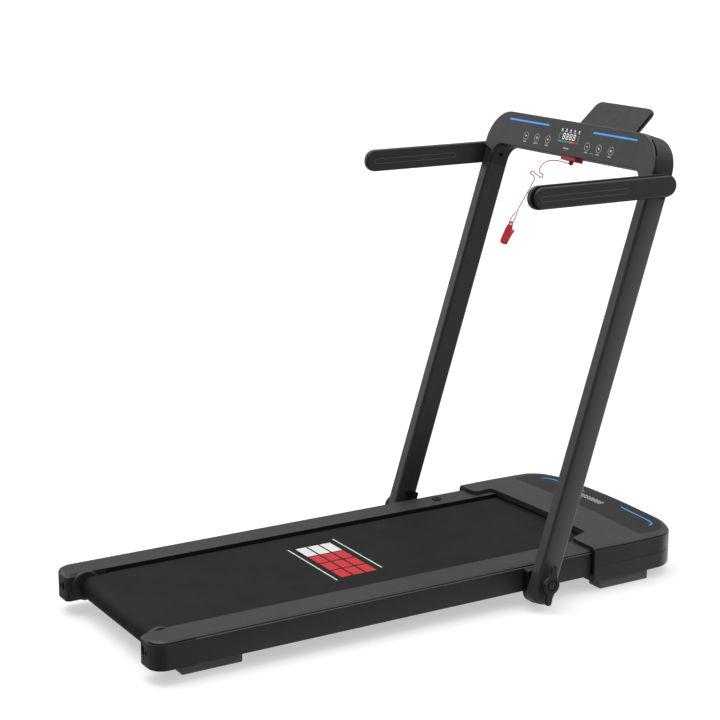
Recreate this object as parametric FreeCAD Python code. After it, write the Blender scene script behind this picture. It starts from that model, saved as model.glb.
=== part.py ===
import FreeCAD, Part
import math
import os

from FreeCAD import Placement, Rotation, Vector

# Folding walking and running treadmill, in millimetres.
# X is the walker's right, Y points forward from the tail end to the motor hood, Z is up.
# While it is drawn, Y is 0 at the tail faces and Z is 0 at the floor. Nodes are written with
# Y measured from the middle of the overall length.

# ---- driving dimensions ----
LENGTH = 1419.0                # tail faces to the nose of the hood

RAIL_INNER = 200.0             # inner edge of a foot rail, from the centre plane
RAIL_OUTER = 275.0
RAIL_TOP = 99.5
RAIL_BOTTOM = 35.0
RAIL_END = 1198.0              # rail covers end inside the hood, past its notch
CAP_LENGTH = 98.0

BEVEL_TOP_INSET = 7.0          # bevelled shoulder with a shadow groove below it
BEVEL_LOW_INSET = 1.8
BEVEL_HEIGHT = 3.4
GROOVE_INSET = 3.6
GROOVE_TOP = 4.4               # groove is measured down from the top face
GROOVE_BOTTOM = 6.2
SIDE_TOP = 7.6
COVER_WALL = 2.5

BELT_TOP = 91.0
BELT_THICKNESS = 1.6
BELT_HALF_WIDTH = 189.0
ROLLER_OUTSIDE = 27.5          # radius over the belt
ROLLER_GAP = 0.3
REAR_ROLLER_Y = 58.0
FRONT_ROLLER_Y = 1237.0
ROLLER_Z = BELT_TOP - ROLLER_OUTSIDE
ROLLER_RADIUS = ROLLER_OUTSIDE - BELT_THICKNESS - ROLLER_GAP
ROLLER_WALL = 3.0
ROLLER_HALF = 187.0
AXLE_RADIUS = 6.0
AXLE_HALF = 246.0
RUNNING_GAP = 0.05

TUBE_INNER = 220.0             # steel side members inside the rail covers
TUBE_OUTER = 262.0
TUBE_BOTTOM = 42.0
TUBE_TOP = 86.0
TUBE_WALL = 2.0
TUBE_REAR = 14.0
TUBE_FRONT = 1322.0
TENSION_BOLT_X = 233.5
TENSION_BOLT_Z = 66.0
TENSION_BOLT_RADIUS = 4.0

BOARD_THICKNESS = 12.0
BOARD_GAP = 0.4
CUSHION_HEIGHT = 3.0

HOOD_REAR = 1132.0
HOOD_NOTCH = 1187.0
HOOD_NOTCH_BOW = 10.0          # notch edge reaches further forward at the middle
HOOD_TOP = 108.5
HOOD_BOTTOM = 23.0
HOOD_SEAM = 62.0
HOOD_WALL = 3.0
HOOD_RIGHT_ARM = (200.0, 179.0)    # inner edge of an arm, at its rear end and at the notch
HOOD_LEFT_ARM = (214.0, 221.0)

LEAN = 17.8                    # degrees that the uprights lean forward when raised
PIVOT_Y = 964.0
PIVOT_Z = 67.0
PIVOT_BOLT_RADIUS = 6.0
KNOB_TURN = 7.8                # degrees that the wings are turned back from the uprights
UPRIGHT_INNER = 297.0
UPRIGHT_OUTER = 331.0
UPRIGHT_HALF_DEPTH = 28.5
UPRIGHT_WALL = 2.0
UPRIGHT_FOOT = -52.0
UPRIGHT_ROUND = 6.0
LEG_JOINT = 915.0              # uprights meet the console housing here

CONSOLE_TOP = 1051.6
CONSOLE_LOWER = 967.6
CONSOLE_CORNER = 80.0
CONSOLE_INNER_CORNER = 34.0
CONSOLE_WALL = 3.0
FACE_FRONT = -33.4
FACE_GAP_DEPTH = 1.4
STRIP_LEVEL = 1032.1           # height of the light strips up the lean

HANDLE_LEVEL = 967.5           # height of the handles above the floor
HANDLE_HALF_HEIGHT = 26.5
HANDLE_REAR = 878.5
HANDLE_FRONT = 1283.5
HANDLE_INNER = 334.5
HANDLE_OUTER = 357.0
HANDLE_SEAM = 347.2
HANDLE_SEAM_WIDTH = 1.8
HANDLE_COVER_INSET = 3.2       # outer half of the casing is smaller than the inner half
HANDLE_COVER_REAR = 4.8

TABLET_TILT = 30.2             # degrees that the tablet plate leans behind the console
TABLET_PIVOT_D = 39.5
TABLET_PIVOT_W = 995.0
TABLET_LENGTH = 151.0
TABLET_TOP_HALF = 108.0
TABLET_ROOT_HALF = 111.5

KEY_X = 11.0
KEY_HALF_WIDTH = 30.0
KEY_REAR_D = -28.0
KEY_FRONT_D = -2.0
KEY_HEIGHT = 10.0
KEY_BALL_D = -14.0
KEY_BALL_W = 953.8
KEY_BALL_RADIUS = 6.0

CORD_RADIUS = 1.2
CLIP_EYE = Vector(7.0, 1072.0, 847.0)
CLIP_SWING = -27.3             # degrees that the clip hangs towards the walker
CLIP_TWIST = 24.0              # degrees that the clip is turned about its own length
CLIP_LENGTH = 52.0
CLIP_WIDTH = 18.0

# The safety cord's route from the key to the clip's eye and back up to its knot.
CORD_ROUTE = [
    Vector(11.0, 1238.3, 977.8),
    Vector(10.8, 1224.0, 982.5),
    Vector(10.4, 1208.0, 987.2),
    Vector(9.8, 1190.5, 990.0),
    Vector(9.2, 1174.0, 989.6),
    Vector(8.7, 1162.0, 985.2),
    Vector(8.3, 1154.0, 976.8),
    Vector(8.0, 1149.2, 968.4),
    Vector(7.8, 1153.8, 961.6),
    Vector(7.6, 1162.2, 956.4),
    Vector(7.5, 1162.1, 951.6),
    Vector(7.4, 1157.2, 950.4),
    Vector(7.3, 1149.0, 955.4),
    Vector(7.2, 1138.6, 962.6),
    Vector(7.1, 1130.0, 969.2),
    Vector(7.0, 1125.4, 965.6),
    Vector(7.0, 1127.8, 960.7),
    Vector(7.0, 1136.6, 955.4),
    Vector(7.0, 1138.4, 948.6),
    Vector(7.0, 1134.0, 942.0),
    Vector(7.0, 1127.4, 930.8),
    Vector(7.0, 1117.0, 916.6),
    Vector(7.0, 1106.2, 901.2),
    Vector(7.0, 1096.6, 886.8),
    Vector(7.0, 1090.0, 877.4),
    Vector(7.0, 1087.0, 867.2),
    Vector(7.0, 1083.0, 857.0),
    Vector(7.0, 1077.0, 848.5),
    Vector(7.0, 1069.5, 847.5),
    Vector(7.0, 1067.6, 855.4),
    Vector(7.0, 1076.0, 864.8),
    Vector(7.0, 1084.2, 873.0),
]

SIDES = (("left", -1), ("right", 1))
NODES = {}


# ---- drawing helpers ----
def box(x0, x1, y0, y1, z0, z1):
    return Part.makeBox(x1 - x0, y1 - y0, z1 - z0, Vector(x0, y0, z0))


def bar_x(x0, x1, y, z, radius):
    return Part.makeCylinder(radius, x1 - x0, Vector(x0, y, z), Vector(1, 0, 0))


def bar_y(x, y0, y1, z, radius):
    return Part.makeCylinder(radius, y1 - y0, Vector(x, y0, z), Vector(0, 1, 0))


def bar_z(x, y, z0, z1, radius):
    return Part.makeCylinder(radius, z1 - z0, Vector(x, y, z0), Vector(0, 0, 1))


def ring_x(x0, x1, y, z, outer, inner):
    return bar_x(x0, x1, y, z, outer).cut(bar_x(x0 - 1, x1 + 1, y, z, inner))


def other_side(shape):
    return shape.mirror(Vector(0, 0, 0), Vector(1, 0, 0))


def on_side(shape, sign):
    """A shape drawn on the right is used as it is, or mirrored for the left."""
    return shape if sign > 0 else other_side(shape)


def both(shape):
    return [shape, other_side(shape)]


def rounded_wire(corners):
    """Closed wire through (point, radius) corners, each rounded to its radius."""
    count = len(corners)
    trims = []
    for i in range(count):
        point, radius = corners[i]
        before = (corners[i - 1][0] - point).normalize()
        after = (corners[(i + 1) % count][0] - point).normalize()
        if radius <= 0:
            trims.append((point, None, point))
            continue
        half = before.getAngle(after) / 2
        reach = radius / math.tan(half)
        middle_direction = (before + after).normalize()
        middle = point + middle_direction * (radius / math.sin(half) - radius)
        trims.append((point + before * reach, middle, point + after * reach))
    edges = []
    for i in range(count):
        start, middle, end = trims[i]
        if middle is not None:
            edges.append(Part.Arc(start, middle, end).toShape())
        following = trims[(i + 1) % count][0]
        if (following - end).Length > 1e-6:
            edges.append(Part.LineSegment(end, following).toShape())
    return Part.Wire(edges)


def plate(corners, travel):
    return Part.Face(rounded_wire(corners)).extrude(travel)


def flat_outline(points, z):
    return [(Vector(x, y, z), radius) for x, y, radius in points]


def side_outline(points, x):
    return [(Vector(x, y, z), radius) for y, z, radius in points]


def front_outline(points, y):
    return [(Vector(x, y, z), radius) for x, z, radius in points]


def loft(low_corners, high_corners):
    return Part.makeLoft([rounded_wire(low_corners), rounded_wire(high_corners)], True, True)


def fillet_edges(shape, radius, chosen):
    return shape.makeFillet(radius, [edge for edge in shape.Edges if chosen(edge)])


def mirrored_outline(right_half):
    """A closed outline from its right half, listed from the rear forwards."""
    left_half = [(-x, y, radius) for x, y, radius in reversed(right_half)]
    return right_half + left_half


# ---- the raised arch is drawn upright, then leaned about its pivot ----
ARCH = Placement(Vector(0, PIVOT_Y, PIVOT_Z), Rotation(Vector(1, 0, 0), -LEAN))


def leaned(shape):
    moved = shape.copy()
    moved.Placement = ARCH.multiply(moved.Placement)
    return moved


def arch_point(x, d, w):
    return ARCH.multVec(Vector(x, d, w))


def add(name, *shapes):
    NODES[name] = list(shapes)


# ---- shoulder shared by the rails, the rear caps and the hood ----
def shouldered_block(outline, z_low, z_top):
    """Solid under an outline(inset), with a shadow groove and a bevel along its top edge."""
    body = plate(flat_outline(outline(0), z_low), Vector(0, 0, z_top - SIDE_TOP - z_low))
    step = loft(
        flat_outline(outline(0), z_top - SIDE_TOP),
        flat_outline(outline(GROOVE_INSET), z_top - GROOVE_BOTTOM),
    )
    groove = plate(
        flat_outline(outline(GROOVE_INSET), z_top - GROOVE_BOTTOM),
        Vector(0, 0, GROOVE_BOTTOM - GROOVE_TOP),
    )
    lip = plate(
        flat_outline(outline(BEVEL_LOW_INSET), z_top - GROOVE_TOP),
        Vector(0, 0, GROOVE_TOP - BEVEL_HEIGHT),
    )
    bevel = loft(
        flat_outline(outline(BEVEL_LOW_INSET), z_top - BEVEL_HEIGHT),
        flat_outline(outline(BEVEL_TOP_INSET), z_top),
    )
    return body.fuse([step, groove, lip, bevel]).removeSplitter()


# ---- deck ----
def rail_cover():
    """Foot rail cover: a thin channel with a bevelled outer shoulder."""
    outer = RAIL_OUTER
    top = RAIL_TOP
    wall = COVER_WALL
    inner_skirt = 74.0
    profile = [
        (RAIL_INNER, top, 0.8),
        (outer - BEVEL_TOP_INSET, top, 0),
        (outer - BEVEL_LOW_INSET, top - BEVEL_HEIGHT, 0),
        (outer - BEVEL_LOW_INSET, top - GROOVE_TOP, 0),
        (outer - GROOVE_INSET, top - GROOVE_TOP, 0),
        (outer - GROOVE_INSET, top - GROOVE_BOTTOM, 0),
        (outer, top - SIDE_TOP, 0),
        (outer, RAIL_BOTTOM, 2.2),
        (TUBE_OUTER + 1.5, RAIL_BOTTOM, 0),
        (TUBE_OUTER + 1.5, RAIL_BOTTOM + wall, 0),
        (outer - wall, RAIL_BOTTOM + wall, 0),
        (outer - wall, top - SIDE_TOP - 2, 0),
        (outer - GROOVE_INSET - wall, top - GROOVE_BOTTOM - 1.5, 0),
        (outer - GROOVE_INSET - wall, top - wall, 0),
        (RAIL_INNER + wall, top - wall, 0),
        (RAIL_INNER + wall, inner_skirt, 0),
        (RAIL_INNER, inner_skirt, 0),
    ]
    length = RAIL_END - CAP_LENGTH
    cover = plate(front_outline(profile, CAP_LENGTH), Vector(0, length, 0))
    return cover.cut(bar_x(TUBE_OUTER, outer + 5, PIVOT_Y, PIVOT_Z, 24.3))


def rail_bumper():
    """Round rubber stud that the folded frame clears, set on the rail's top face."""
    stud = bar_z(237.0, 1030.0, RAIL_TOP, RAIL_TOP + 3.5, 12.0)
    stud = fillet_edges(stud, 2.0, lambda e: e.BoundBox.ZMin > RAIL_TOP + 3)
    return stud.cut(bar_z(237.0, 1030.0, RAIL_TOP + 1.5, RAIL_TOP + 6, 4.0))


def rear_cap_outline(inset):
    return [
        (RAIL_INNER + 0.3 + inset, inset, 11.0 - inset / 2),
        (RAIL_OUTER - inset, inset, 34.0 - inset / 2),
        (RAIL_OUTER - inset, CAP_LENGTH, 0),
        (RAIL_INNER, CAP_LENGTH, 0),
        (RAIL_INNER, 46.0, 28.0),
        (RAIL_INNER + 0.3 + inset, 27.0, 28.0),
    ]


def rear_cap_block():
    """The cap's outside: a plain bevel at the tail, the grooved shoulder round the outer corner."""
    grooved = shouldered_block(rear_cap_outline, RAIL_BOTTOM, RAIL_TOP)
    shoulder = RAIL_TOP - SIDE_TOP
    base = plate(flat_outline(rear_cap_outline(0), RAIL_BOTTOM), Vector(0, 0, shoulder - RAIL_BOTTOM))
    bevel = loft(
        flat_outline(rear_cap_outline(0), shoulder),
        flat_outline(rear_cap_outline(BEVEL_TOP_INSET), RAIL_TOP),
    )
    plain = base.fuse(bevel)
    split = 243.0
    inner_part = plain.common(box(RAIL_INNER - 5, split, -5.0, CAP_LENGTH + 5, 0.0, 120.0))
    outer_part = grooved.common(box(split, RAIL_OUTER + 5, -5.0, CAP_LENGTH + 5, 0.0, 120.0))
    return inner_part.fuse(outer_part).removeSplitter()


def rear_cap():
    """Moulded end cap with a round shroud for the roller's end and its adjuster holes."""
    shroud_y = 47.0
    shroud_z = 68.5
    shroud = bar_x(RAIL_INNER - 8.5, 204.0, shroud_y, shroud_z, 34.5)
    shroud = fillet_edges(shroud, 2.6, lambda e: e.BoundBox.XMax < RAIL_INNER)
    shroud = fillet_edges(shroud, 1.5, lambda e: e.BoundBox.XMin > 203.0)
    cap = rear_cap_block().fuse(shroud)
    wall = 2.0
    corner = plate(
        flat_outline(
            [
                (217.0, 9.0, 0),
                (RAIL_OUTER - wall, wall, 34.0 - wall),
                (RAIL_OUTER - wall, CAP_LENGTH + 1, 0),
                (217.0, CAP_LENGTH + 1, 0),
            ],
            RAIL_BOTTOM + 3,
        ),
        Vector(0, 0, 87.0 - RAIL_BOTTOM),
    )
    pocket = box(217.0, 266.0, 9.0, CAP_LENGTH + 1, RAIL_BOTTOM + 3, 90.0).common(corner)
    axle_hole = box(185.0, 220.0, 40.0, 80.0, ROLLER_Z - 7.0, ROLLER_Z + 7.0)
    slot = plate(
        front_outline(
            [(213.0, 57.0, 5.9), (225.0, 57.0, 5.9), (225.0, 78.0, 5.9), (213.0, 78.0, 5.9)], -1.0
        ),
        Vector(0, 12.0, 0),
    )
    key_hole = bar_y(TENSION_BOLT_X, -1.0, 11.0, TENSION_BOLT_Z, 5.0)
    screw_hole = bar_z(240.0, 86.0, RAIL_BOTTOM - 1, RAIL_BOTTOM + 5, 3.2)
    return cap.cut(pocket).cut(axle_hole).cut(slot).cut(key_hole).cut(screw_hole)


def frame_tube():
    """Steel side member with slots for both axles and holes for the pivot bolt."""
    tube = box(TUBE_INNER, TUBE_OUTER, TUBE_REAR, TUBE_FRONT, TUBE_BOTTOM, TUBE_TOP)
    w = TUBE_WALL
    hollow = box(
        TUBE_INNER + w, TUBE_OUTER - w, TUBE_REAR + 3, TUBE_FRONT + 1, TUBE_BOTTOM + w, TUBE_TOP - w
    )
    rear_slot = box(TUBE_INNER - 1, TUBE_INNER + w + 1, 44.0, 80.0, ROLLER_Z - 6.2, ROLLER_Z + 6.2)
    front_hole = bar_x(TUBE_INNER - 1, TUBE_INNER + w + 1, FRONT_ROLLER_Y, ROLLER_Z, 6.1)
    pivot_hole = bar_x(TUBE_OUTER - w - 1, TUBE_OUTER + 1, PIVOT_Y, PIVOT_Z, 6.2)
    bolt_hole = bar_y(TENSION_BOLT_X, TUBE_REAR - 1, TUBE_REAR + 4, TENSION_BOLT_Z, 4.1)
    return tube.cut(hollow).cut(rear_slot).cut(front_hole).cut(pivot_hole).cut(bolt_hole)


def cross_members():
    tubes = []
    board_low = BELT_TOP - BELT_THICKNESS - BOARD_GAP - BOARD_THICKNESS
    top = board_low - CUSHION_HEIGHT
    for y in (190.0, 640.0, 1100.0):
        tube = box(-TUBE_INNER, TUBE_INNER, y - 20, y + 20, top - 24, top)
        tubes.append(tube.cut(box(-TUBE_INNER - 1, TUBE_INNER + 1, y - 18, y + 18, top - 22, top - 2)))
    return tubes


def deck_cushions():
    board_low = BELT_TOP - BELT_THICKNESS - BOARD_GAP - BOARD_THICKNESS
    pads = []
    for y in (190.0, 640.0, 1100.0):
        for x in (-165.0, 0.0, 165.0):
            pads.append(bar_z(x, y, board_low - CUSHION_HEIGHT, board_low, 15.0))
    return pads


def deck_board():
    top = BELT_TOP - BELT_THICKNESS - BOARD_GAP
    board = box(-198.0, 198.0, 100.0, 1196.0, top - BOARD_THICKNESS, top)
    return fillet_edges(
        board, 4.0, lambda e: e.Length > 300 and e.BoundBox.XLength > 300 and e.BoundBox.ZMin > top - 1
    )


def belt_loop(x0, x1, y0, z0, r0, y1, z1, r1, thickness):
    """Closed loop of belt around two rollers whose shafts run along X."""
    outer = tangent_loop(x0, x1, y0, z0, r0 + thickness, y1, z1, r1 + thickness)
    inner = tangent_loop(x0 - 1, x1 + 1, y0, z0, r0, y1, z1, r1)
    return outer.cut(inner)


def tangent_loop(x0, x1, y0, z0, r0, y1, z1, r1):
    span = math.hypot(y1 - y0, z1 - z0)
    heading = math.atan2(z1 - z0, y1 - y0)
    spread = math.acos((r0 - r1) / span)
    points = []
    for y, z, r in ((y0, z0, r0), (y1, z1, r1)):
        for angle in (heading + spread, heading - spread):
            points.append(Vector(x0, y + r * math.cos(angle), z + r * math.sin(angle)))
    rear = Vector(x0, y0 - r0 * math.cos(heading), z0 - r0 * math.sin(heading))
    front = Vector(x0, y1 + r1 * math.cos(heading), z1 + r1 * math.sin(heading))
    edges = [
        Part.LineSegment(points[0], points[2]).toShape(),
        Part.Arc(points[2], front, points[3]).toShape(),
        Part.LineSegment(points[3], points[1]).toShape(),
        Part.Arc(points[1], rear, points[0]).toShape(),
    ]
    return Part.Face(Part.Wire(edges)).extrude(Vector(x1 - x0, 0, 0))


def roller(y):
    """Steel roller tube with a turned hub pressed into each end."""
    bearing_outer = 16.0
    shell = ring_x(-ROLLER_HALF, ROLLER_HALF, y, ROLLER_Z, ROLLER_RADIUS, ROLLER_RADIUS - ROLLER_WALL)
    hubs = []
    for end in (-ROLLER_HALF, ROLLER_HALF - 14.0):
        hubs.append(ring_x(end, end + 14.0, y, ROLLER_Z, ROLLER_RADIUS - ROLLER_WALL, bearing_outer))
    return shell.fuse(hubs)


def roller_bearings(y):
    rings = []
    for end in (-ROLLER_HALF + 1.0, ROLLER_HALF - 11.0):
        rings.append(ring_x(end, end + 10.0, y, ROLLER_Z, 16.0, AXLE_RADIUS + RUNNING_GAP))
    return rings


def rear_axle():
    axle = bar_x(-AXLE_HALF, AXLE_HALF, REAR_ROLLER_Y, ROLLER_Z, AXLE_RADIUS)
    for x in (-TENSION_BOLT_X, TENSION_BOLT_X):
        axle = axle.cut(bar_y(x, REAR_ROLLER_Y - 10, REAR_ROLLER_Y + 10, TENSION_BOLT_Z, 4.15))
    return axle


def tension_bolt():
    shank = bar_y(TENSION_BOLT_X, 13.9, 96.0, TENSION_BOLT_Z, TENSION_BOLT_RADIUS)
    head = bar_y(TENSION_BOLT_X, 9.6, 13.9, TENSION_BOLT_Z, 6.5)
    socket = plate(hexagon(TENSION_BOLT_X, TENSION_BOLT_Z, 3.2, 9.0), Vector(0, 3.0, 0))
    return shank.fuse(head).cut(socket)


def hexagon(x, z, radius, y):
    corners = []
    for i in range(6):
        angle = math.radians(60 * i)
        corners.append((Vector(x + radius * math.cos(angle), y, z + radius * math.sin(angle)), 0))
    return corners


def foot(x0, x1, y0, y1, z_top):
    """Rubber foot bar with rounded ends."""
    return plate(
        side_outline([(y0, 0, 5.0), (y1, 0, 3.0), (y1, z_top, 0), (y0, z_top, 0)], x0),
        Vector(x1 - x0, 0, 0),
    )


def rear_foot():
    """Rear foot bar, with a block that carries it on the rear cross member."""
    bar = foot(203.0, 235.0, 79.0, 225.0, RAIL_BOTTOM)
    board_low = BELT_TOP - BELT_THICKNESS - BOARD_GAP - BOARD_THICKNESS
    block = box(204.5, 219.5, 175.0, 205.0, RAIL_BOTTOM - 1, board_low - CUSHION_HEIGHT - 24)
    return bar.fuse(block)


# ---- hood ----
def hood_outline(inset):
    return hood_corners(inset, inset, 0.0)


def hood_corners(side_inset, nose_inset, wall):
    """Hood seen from above: two arms beside the belt, and a nose with large rounded corners."""
    right = [
        (HOOD_RIGHT_ARM[1] + wall, HOOD_NOTCH + wall, 9.0 - wall),
        (HOOD_RIGHT_ARM[0] + wall, HOOD_REAR + wall, 15.0 - wall),
    ]
    left = [
        (-HOOD_LEFT_ARM[0] - wall, HOOD_REAR + wall, 15.0 - wall),
        (-HOOD_LEFT_ARM[1] - wall, HOOD_NOTCH + wall, 9.0 - wall),
    ]
    flank = [
        (288.0 - side_inset, HOOD_REAR + wall, 3.0 - wall * 0.6),
        (290.0 - side_inset, 1237.0, 700.0),
        (286.0 - side_inset, 1349.0 - side_inset * 0.3, 55.0 - wall),
        (258.0 - side_inset * 0.8, 1385.0 - nose_inset * 0.8, 70.0 - wall * 2),
        (200.0 - side_inset * 0.4, 1409.0 - nose_inset, 110.0 - wall * 3),
    ]
    other_flank = [(-x, y, radius) for x, y, radius in reversed(flank)]
    nose = [(0.0, LENGTH - nose_inset, 1400.0)]
    notch = [(0.0, HOOD_NOTCH + HOOD_NOTCH_BOW + wall, 1000.0)]
    return right + flank + nose + other_flank + left + notch


def hood_inside(z_low, z_high):
    """The space inside the hood's walls."""
    return plate(flat_outline(hood_outline_inner(), z_low), Vector(0, 0, z_high - z_low))


def hood_outline_inner():
    inset = HOOD_WALL + GROOVE_INSET
    return hood_corners(inset, inset, HOOD_WALL)


def rail_passage():
    """Space in the hood's rear walls for the rails and the walking belt."""
    rear = HOOD_REAR - 5
    front = HOOD_NOTCH + HOOD_NOTCH_BOW + 8
    low = RAIL_BOTTOM - 1
    over_rail = RAIL_TOP + 0.6
    under_belt = [
        box(-232.0, 232.0, rear, front, low, BELT_TOP + 3.5),
        box(RAIL_INNER - 1, RAIL_OUTER + 1, rear, HOOD_REAR + 8, low, over_rail),
        box(-RAIL_OUTER - 1, -RAIL_INNER + 1, rear, HOOD_REAR + 8, low, over_rail),
        box(RAIL_INNER - 1, 232.0, rear, front, low, over_rail),
        box(-232.0, -RAIL_INNER + 1, rear, front, low, over_rail),
    ]
    return under_belt[0].fuse(under_belt[1:])


def panel_outline(inset):
    """Front zone of the hood's top, behind a gentle curve."""
    return [
        (262.0 - inset, 1288.0 + inset, 12.0),
        (264.0 - inset, 1344.0 - inset * 0.3, 50.0),
        (243.0 - inset * 0.8, 1372.0 - inset * 0.8, 60.0),
        (194.0 - inset * 0.4, 1397.0 - inset, 100.0),
        (0.0, 1408.0 - inset, 1400.0),
    ]


def panel_corners(inset, z):
    right = panel_outline(inset)
    left = [(-x, y, radius) for x, y, radius in reversed(right[:-1])]
    rear = [(0.0, 1303.0 + inset, 1800.0)]
    return flat_outline(right + left + rear, z)


def hood_cover():
    """Upper hood shell, notched over the belt, with a recess for the display panel."""
    shell = shouldered_block(hood_outline, HOOD_SEAM, HOOD_TOP)
    shell = shell.cut(hood_inside(HOOD_SEAM - 1, HOOD_TOP - HOOD_WALL))
    shell = shell.cut(rail_passage())
    return shell.cut(plate(panel_corners(0, HOOD_TOP - 1.2), Vector(0, 0, 3)))


def hood_panel():
    return plate(panel_corners(0, HOOD_TOP - 1.2), Vector(0, 0, 1.2))


def hood_strip(lift):
    """Light strip: a straight run that hooks back at its outer end."""
    return plate(
        flat_outline(
            [
                (76.0, 1377.4, 1.4),
                (194.0, 1369.4, 6.0),
                (214.5, 1363.0, 7.0),
                (221.5, 1349.0, 1.4),
                (224.3, 1350.0, 1.4),
                (217.2, 1365.2, 9.0),
                (194.0, 1372.6, 8.0),
                (76.0, 1380.6, 1.4),
            ],
            HOOD_TOP,
        ),
        Vector(0, 0, lift),
    )


def hood_tray():
    """Lower hood shell that carries the motor and the electronics."""
    body = plate(
        flat_outline(hood_outline(0), HOOD_BOTTOM + 3), Vector(0, 0, HOOD_SEAM - 0.8 - HOOD_BOTTOM - 3)
    )
    base = loft(
        flat_outline(hood_outline(3.0), HOOD_BOTTOM), flat_outline(hood_outline(0), HOOD_BOTTOM + 3)
    )
    lip = plate(flat_outline(hood_outline(1.4), HOOD_SEAM - 0.8), Vector(0, 0, 0.8))
    tray = body.fuse([base, lip]).removeSplitter()
    tray = tray.cut(hood_inside(HOOD_BOTTOM + HOOD_WALL, HOOD_SEAM + 1))
    tray = tray.cut(rail_passage())
    for window in (inlet_window(), switch_window(), breaker_window()):
        tray = tray.cut(window)
    tray = tray.fuse(both(wheel_housing()))
    for pocket in both(wheel_pocket()):
        tray = tray.cut(pocket)
    return tray


FITTINGS_Z = 44.0
ROCKER_Y = 1408.0


def inlet_window():
    return box(-120.5, -91.5, 1395.0, 1430.0, FITTINGS_Z - 10.5, FITTINGS_Z + 10.5)


def switch_window():
    return box(-70.2, -49.8, 1395.0, 1430.0, FITTINGS_Z - 7.2, FITTINGS_Z + 7.2)


def breaker_window():
    return bar_y(-25.0, 1395.0, 1430.0, FITTINGS_Z, 6.2)


def power_inlet():
    """Three-pin inlet for a mains lead, set in the nose of the tray."""
    y_face = 1413.6
    housing = box(-120.0, -92.0, 1388.0, y_face, FITTINGS_Z - 10, FITTINGS_Z + 10)
    housing = housing.cut(
        box(-117.5, -94.5, 1396.0, y_face + 1, FITTINGS_Z - 7.5, FITTINGS_Z + 7.5)
    )
    pins = []
    for x, z in ((-112.0, 41.5), (-106.0, 46.5), (-100.0, 41.5)):
        pins.append(box(x - 1, x + 1, 1395.5, 1405.0, z - 2, z + 2))
    return housing.fuse(pins)


def rocker_switch_frame():
    frame = box(-70.0, -50.0, 1400.0, 1416.6, FITTINGS_Z - 7, FITTINGS_Z + 7)
    frame = frame.cut(box(-68.0, -52.0, 1402.0, 1420.0, FITTINGS_Z - 5.4, FITTINGS_Z + 5.4))
    return frame.cut(bar_z(-60.0, ROCKER_Y, FITTINGS_Z - 6.7, FITTINGS_Z + 6.7, 1.55))


def power_rocker():
    """Rocker cap that tips about two small stubs along Z."""
    cap = plate(
        flat_outline(
            [
                (-66.2, ROCKER_Y, 1.0),
                (-53.8, ROCKER_Y, 1.0),
                (-53.8, ROCKER_Y + 8, 0.6),
                (-60.0, ROCKER_Y + 7, 20.0),
                (-66.2, ROCKER_Y + 10, 0.6),
            ],
            FITTINGS_Z - 5.0,
        ),
        Vector(0, 0, 10.0),
    )
    return cap.fuse(bar_z(-60.0, ROCKER_Y, FITTINGS_Z - 6.6, FITTINGS_Z + 6.6, 1.5))


def breaker_body():
    sleeve = bar_y(-25.0, 1396.0, 1418.0, FITTINGS_Z, 6.0)
    return sleeve.cut(bar_y(-25.0, 1399.0, 1420.0, FITTINGS_Z, 4.3))


def breaker_button():
    return bar_y(-25.0, 1402.5, 1418.9, FITTINGS_Z, 4.0)


MOTOR_Y = 1343.0
MOTOR_Z = 64.0
MOTOR_RADIUS = 36.0
BIG_PULLEY = 30.0
SMALL_PULLEY = 12.0
DRIVE_BELT = 2.4
PULLEY_X0 = 199.5
PULLEY_X1 = 215.5


def motor_housing():
    can = ring_x(60.0, 184.0, MOTOR_Y, MOTOR_Z, MOTOR_RADIUS, 31.0)
    ends = [
        ring_x(60.0, 66.0, MOTOR_Y, MOTOR_Z, 31.0, 5.05),
        ring_x(178.0, 184.0, MOTOR_Y, MOTOR_Z, 31.0, 5.05),
    ]
    return can.fuse(ends)


def motor_rotor():
    """Motor shaft with its armature; the fan and the small pulley are fixed to it."""
    shaft = bar_x(48.0, PULLEY_X1 + 1.5, MOTOR_Y, MOTOR_Z, 5.0)
    armature = bar_x(80.0, 164.0, MOTOR_Y, MOTOR_Z, 28.0)
    return shaft.fuse(armature)


def cooling_fan():
    hub = ring_x(50.0, 58.0, MOTOR_Y, MOTOR_Z, 10.0, 5.0)
    blades = []
    for i in range(9):
        blade = box(50.0, 57.0, MOTOR_Y - 0.8, MOTOR_Y + 0.8, MOTOR_Z + 9.5, MOTOR_Z + 31.0)
        blade.rotate(Vector(0, MOTOR_Y, MOTOR_Z), Vector(1, 0, 0), 40.0 * i)
        blades.append(blade)
    return hub.fuse(blades)


def motor_mount():
    """Two pressed saddles that stand the motor on the tray."""
    saddles = []
    for x in (70.0, 168.0):
        saddle = box(x, x + 6.0, MOTOR_Y - 34, MOTOR_Y + 34, HOOD_BOTTOM + HOOD_WALL, MOTOR_Z - 8)
        saddles.append(saddle.cut(bar_x(60.0, 184.0, MOTOR_Y, MOTOR_Z, MOTOR_RADIUS - 1)))
    return saddles


def pulley(y, z, radius, bore, x_flange):
    """Pulley with a flange each side of the drive belt."""
    rim = bar_x(PULLEY_X0 + 1.5, PULLEY_X1 - 1.5, y, z, radius)
    flanges = [
        bar_x(PULLEY_X0, PULLEY_X0 + 1.5, y, z, radius + x_flange),
        bar_x(PULLEY_X1 - 1.5, PULLEY_X1, y, z, radius + x_flange),
    ]
    return rim.fuse(flanges).cut(bar_x(PULLEY_X0 - 1, PULLEY_X1 + 1, y, z, bore))


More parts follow.
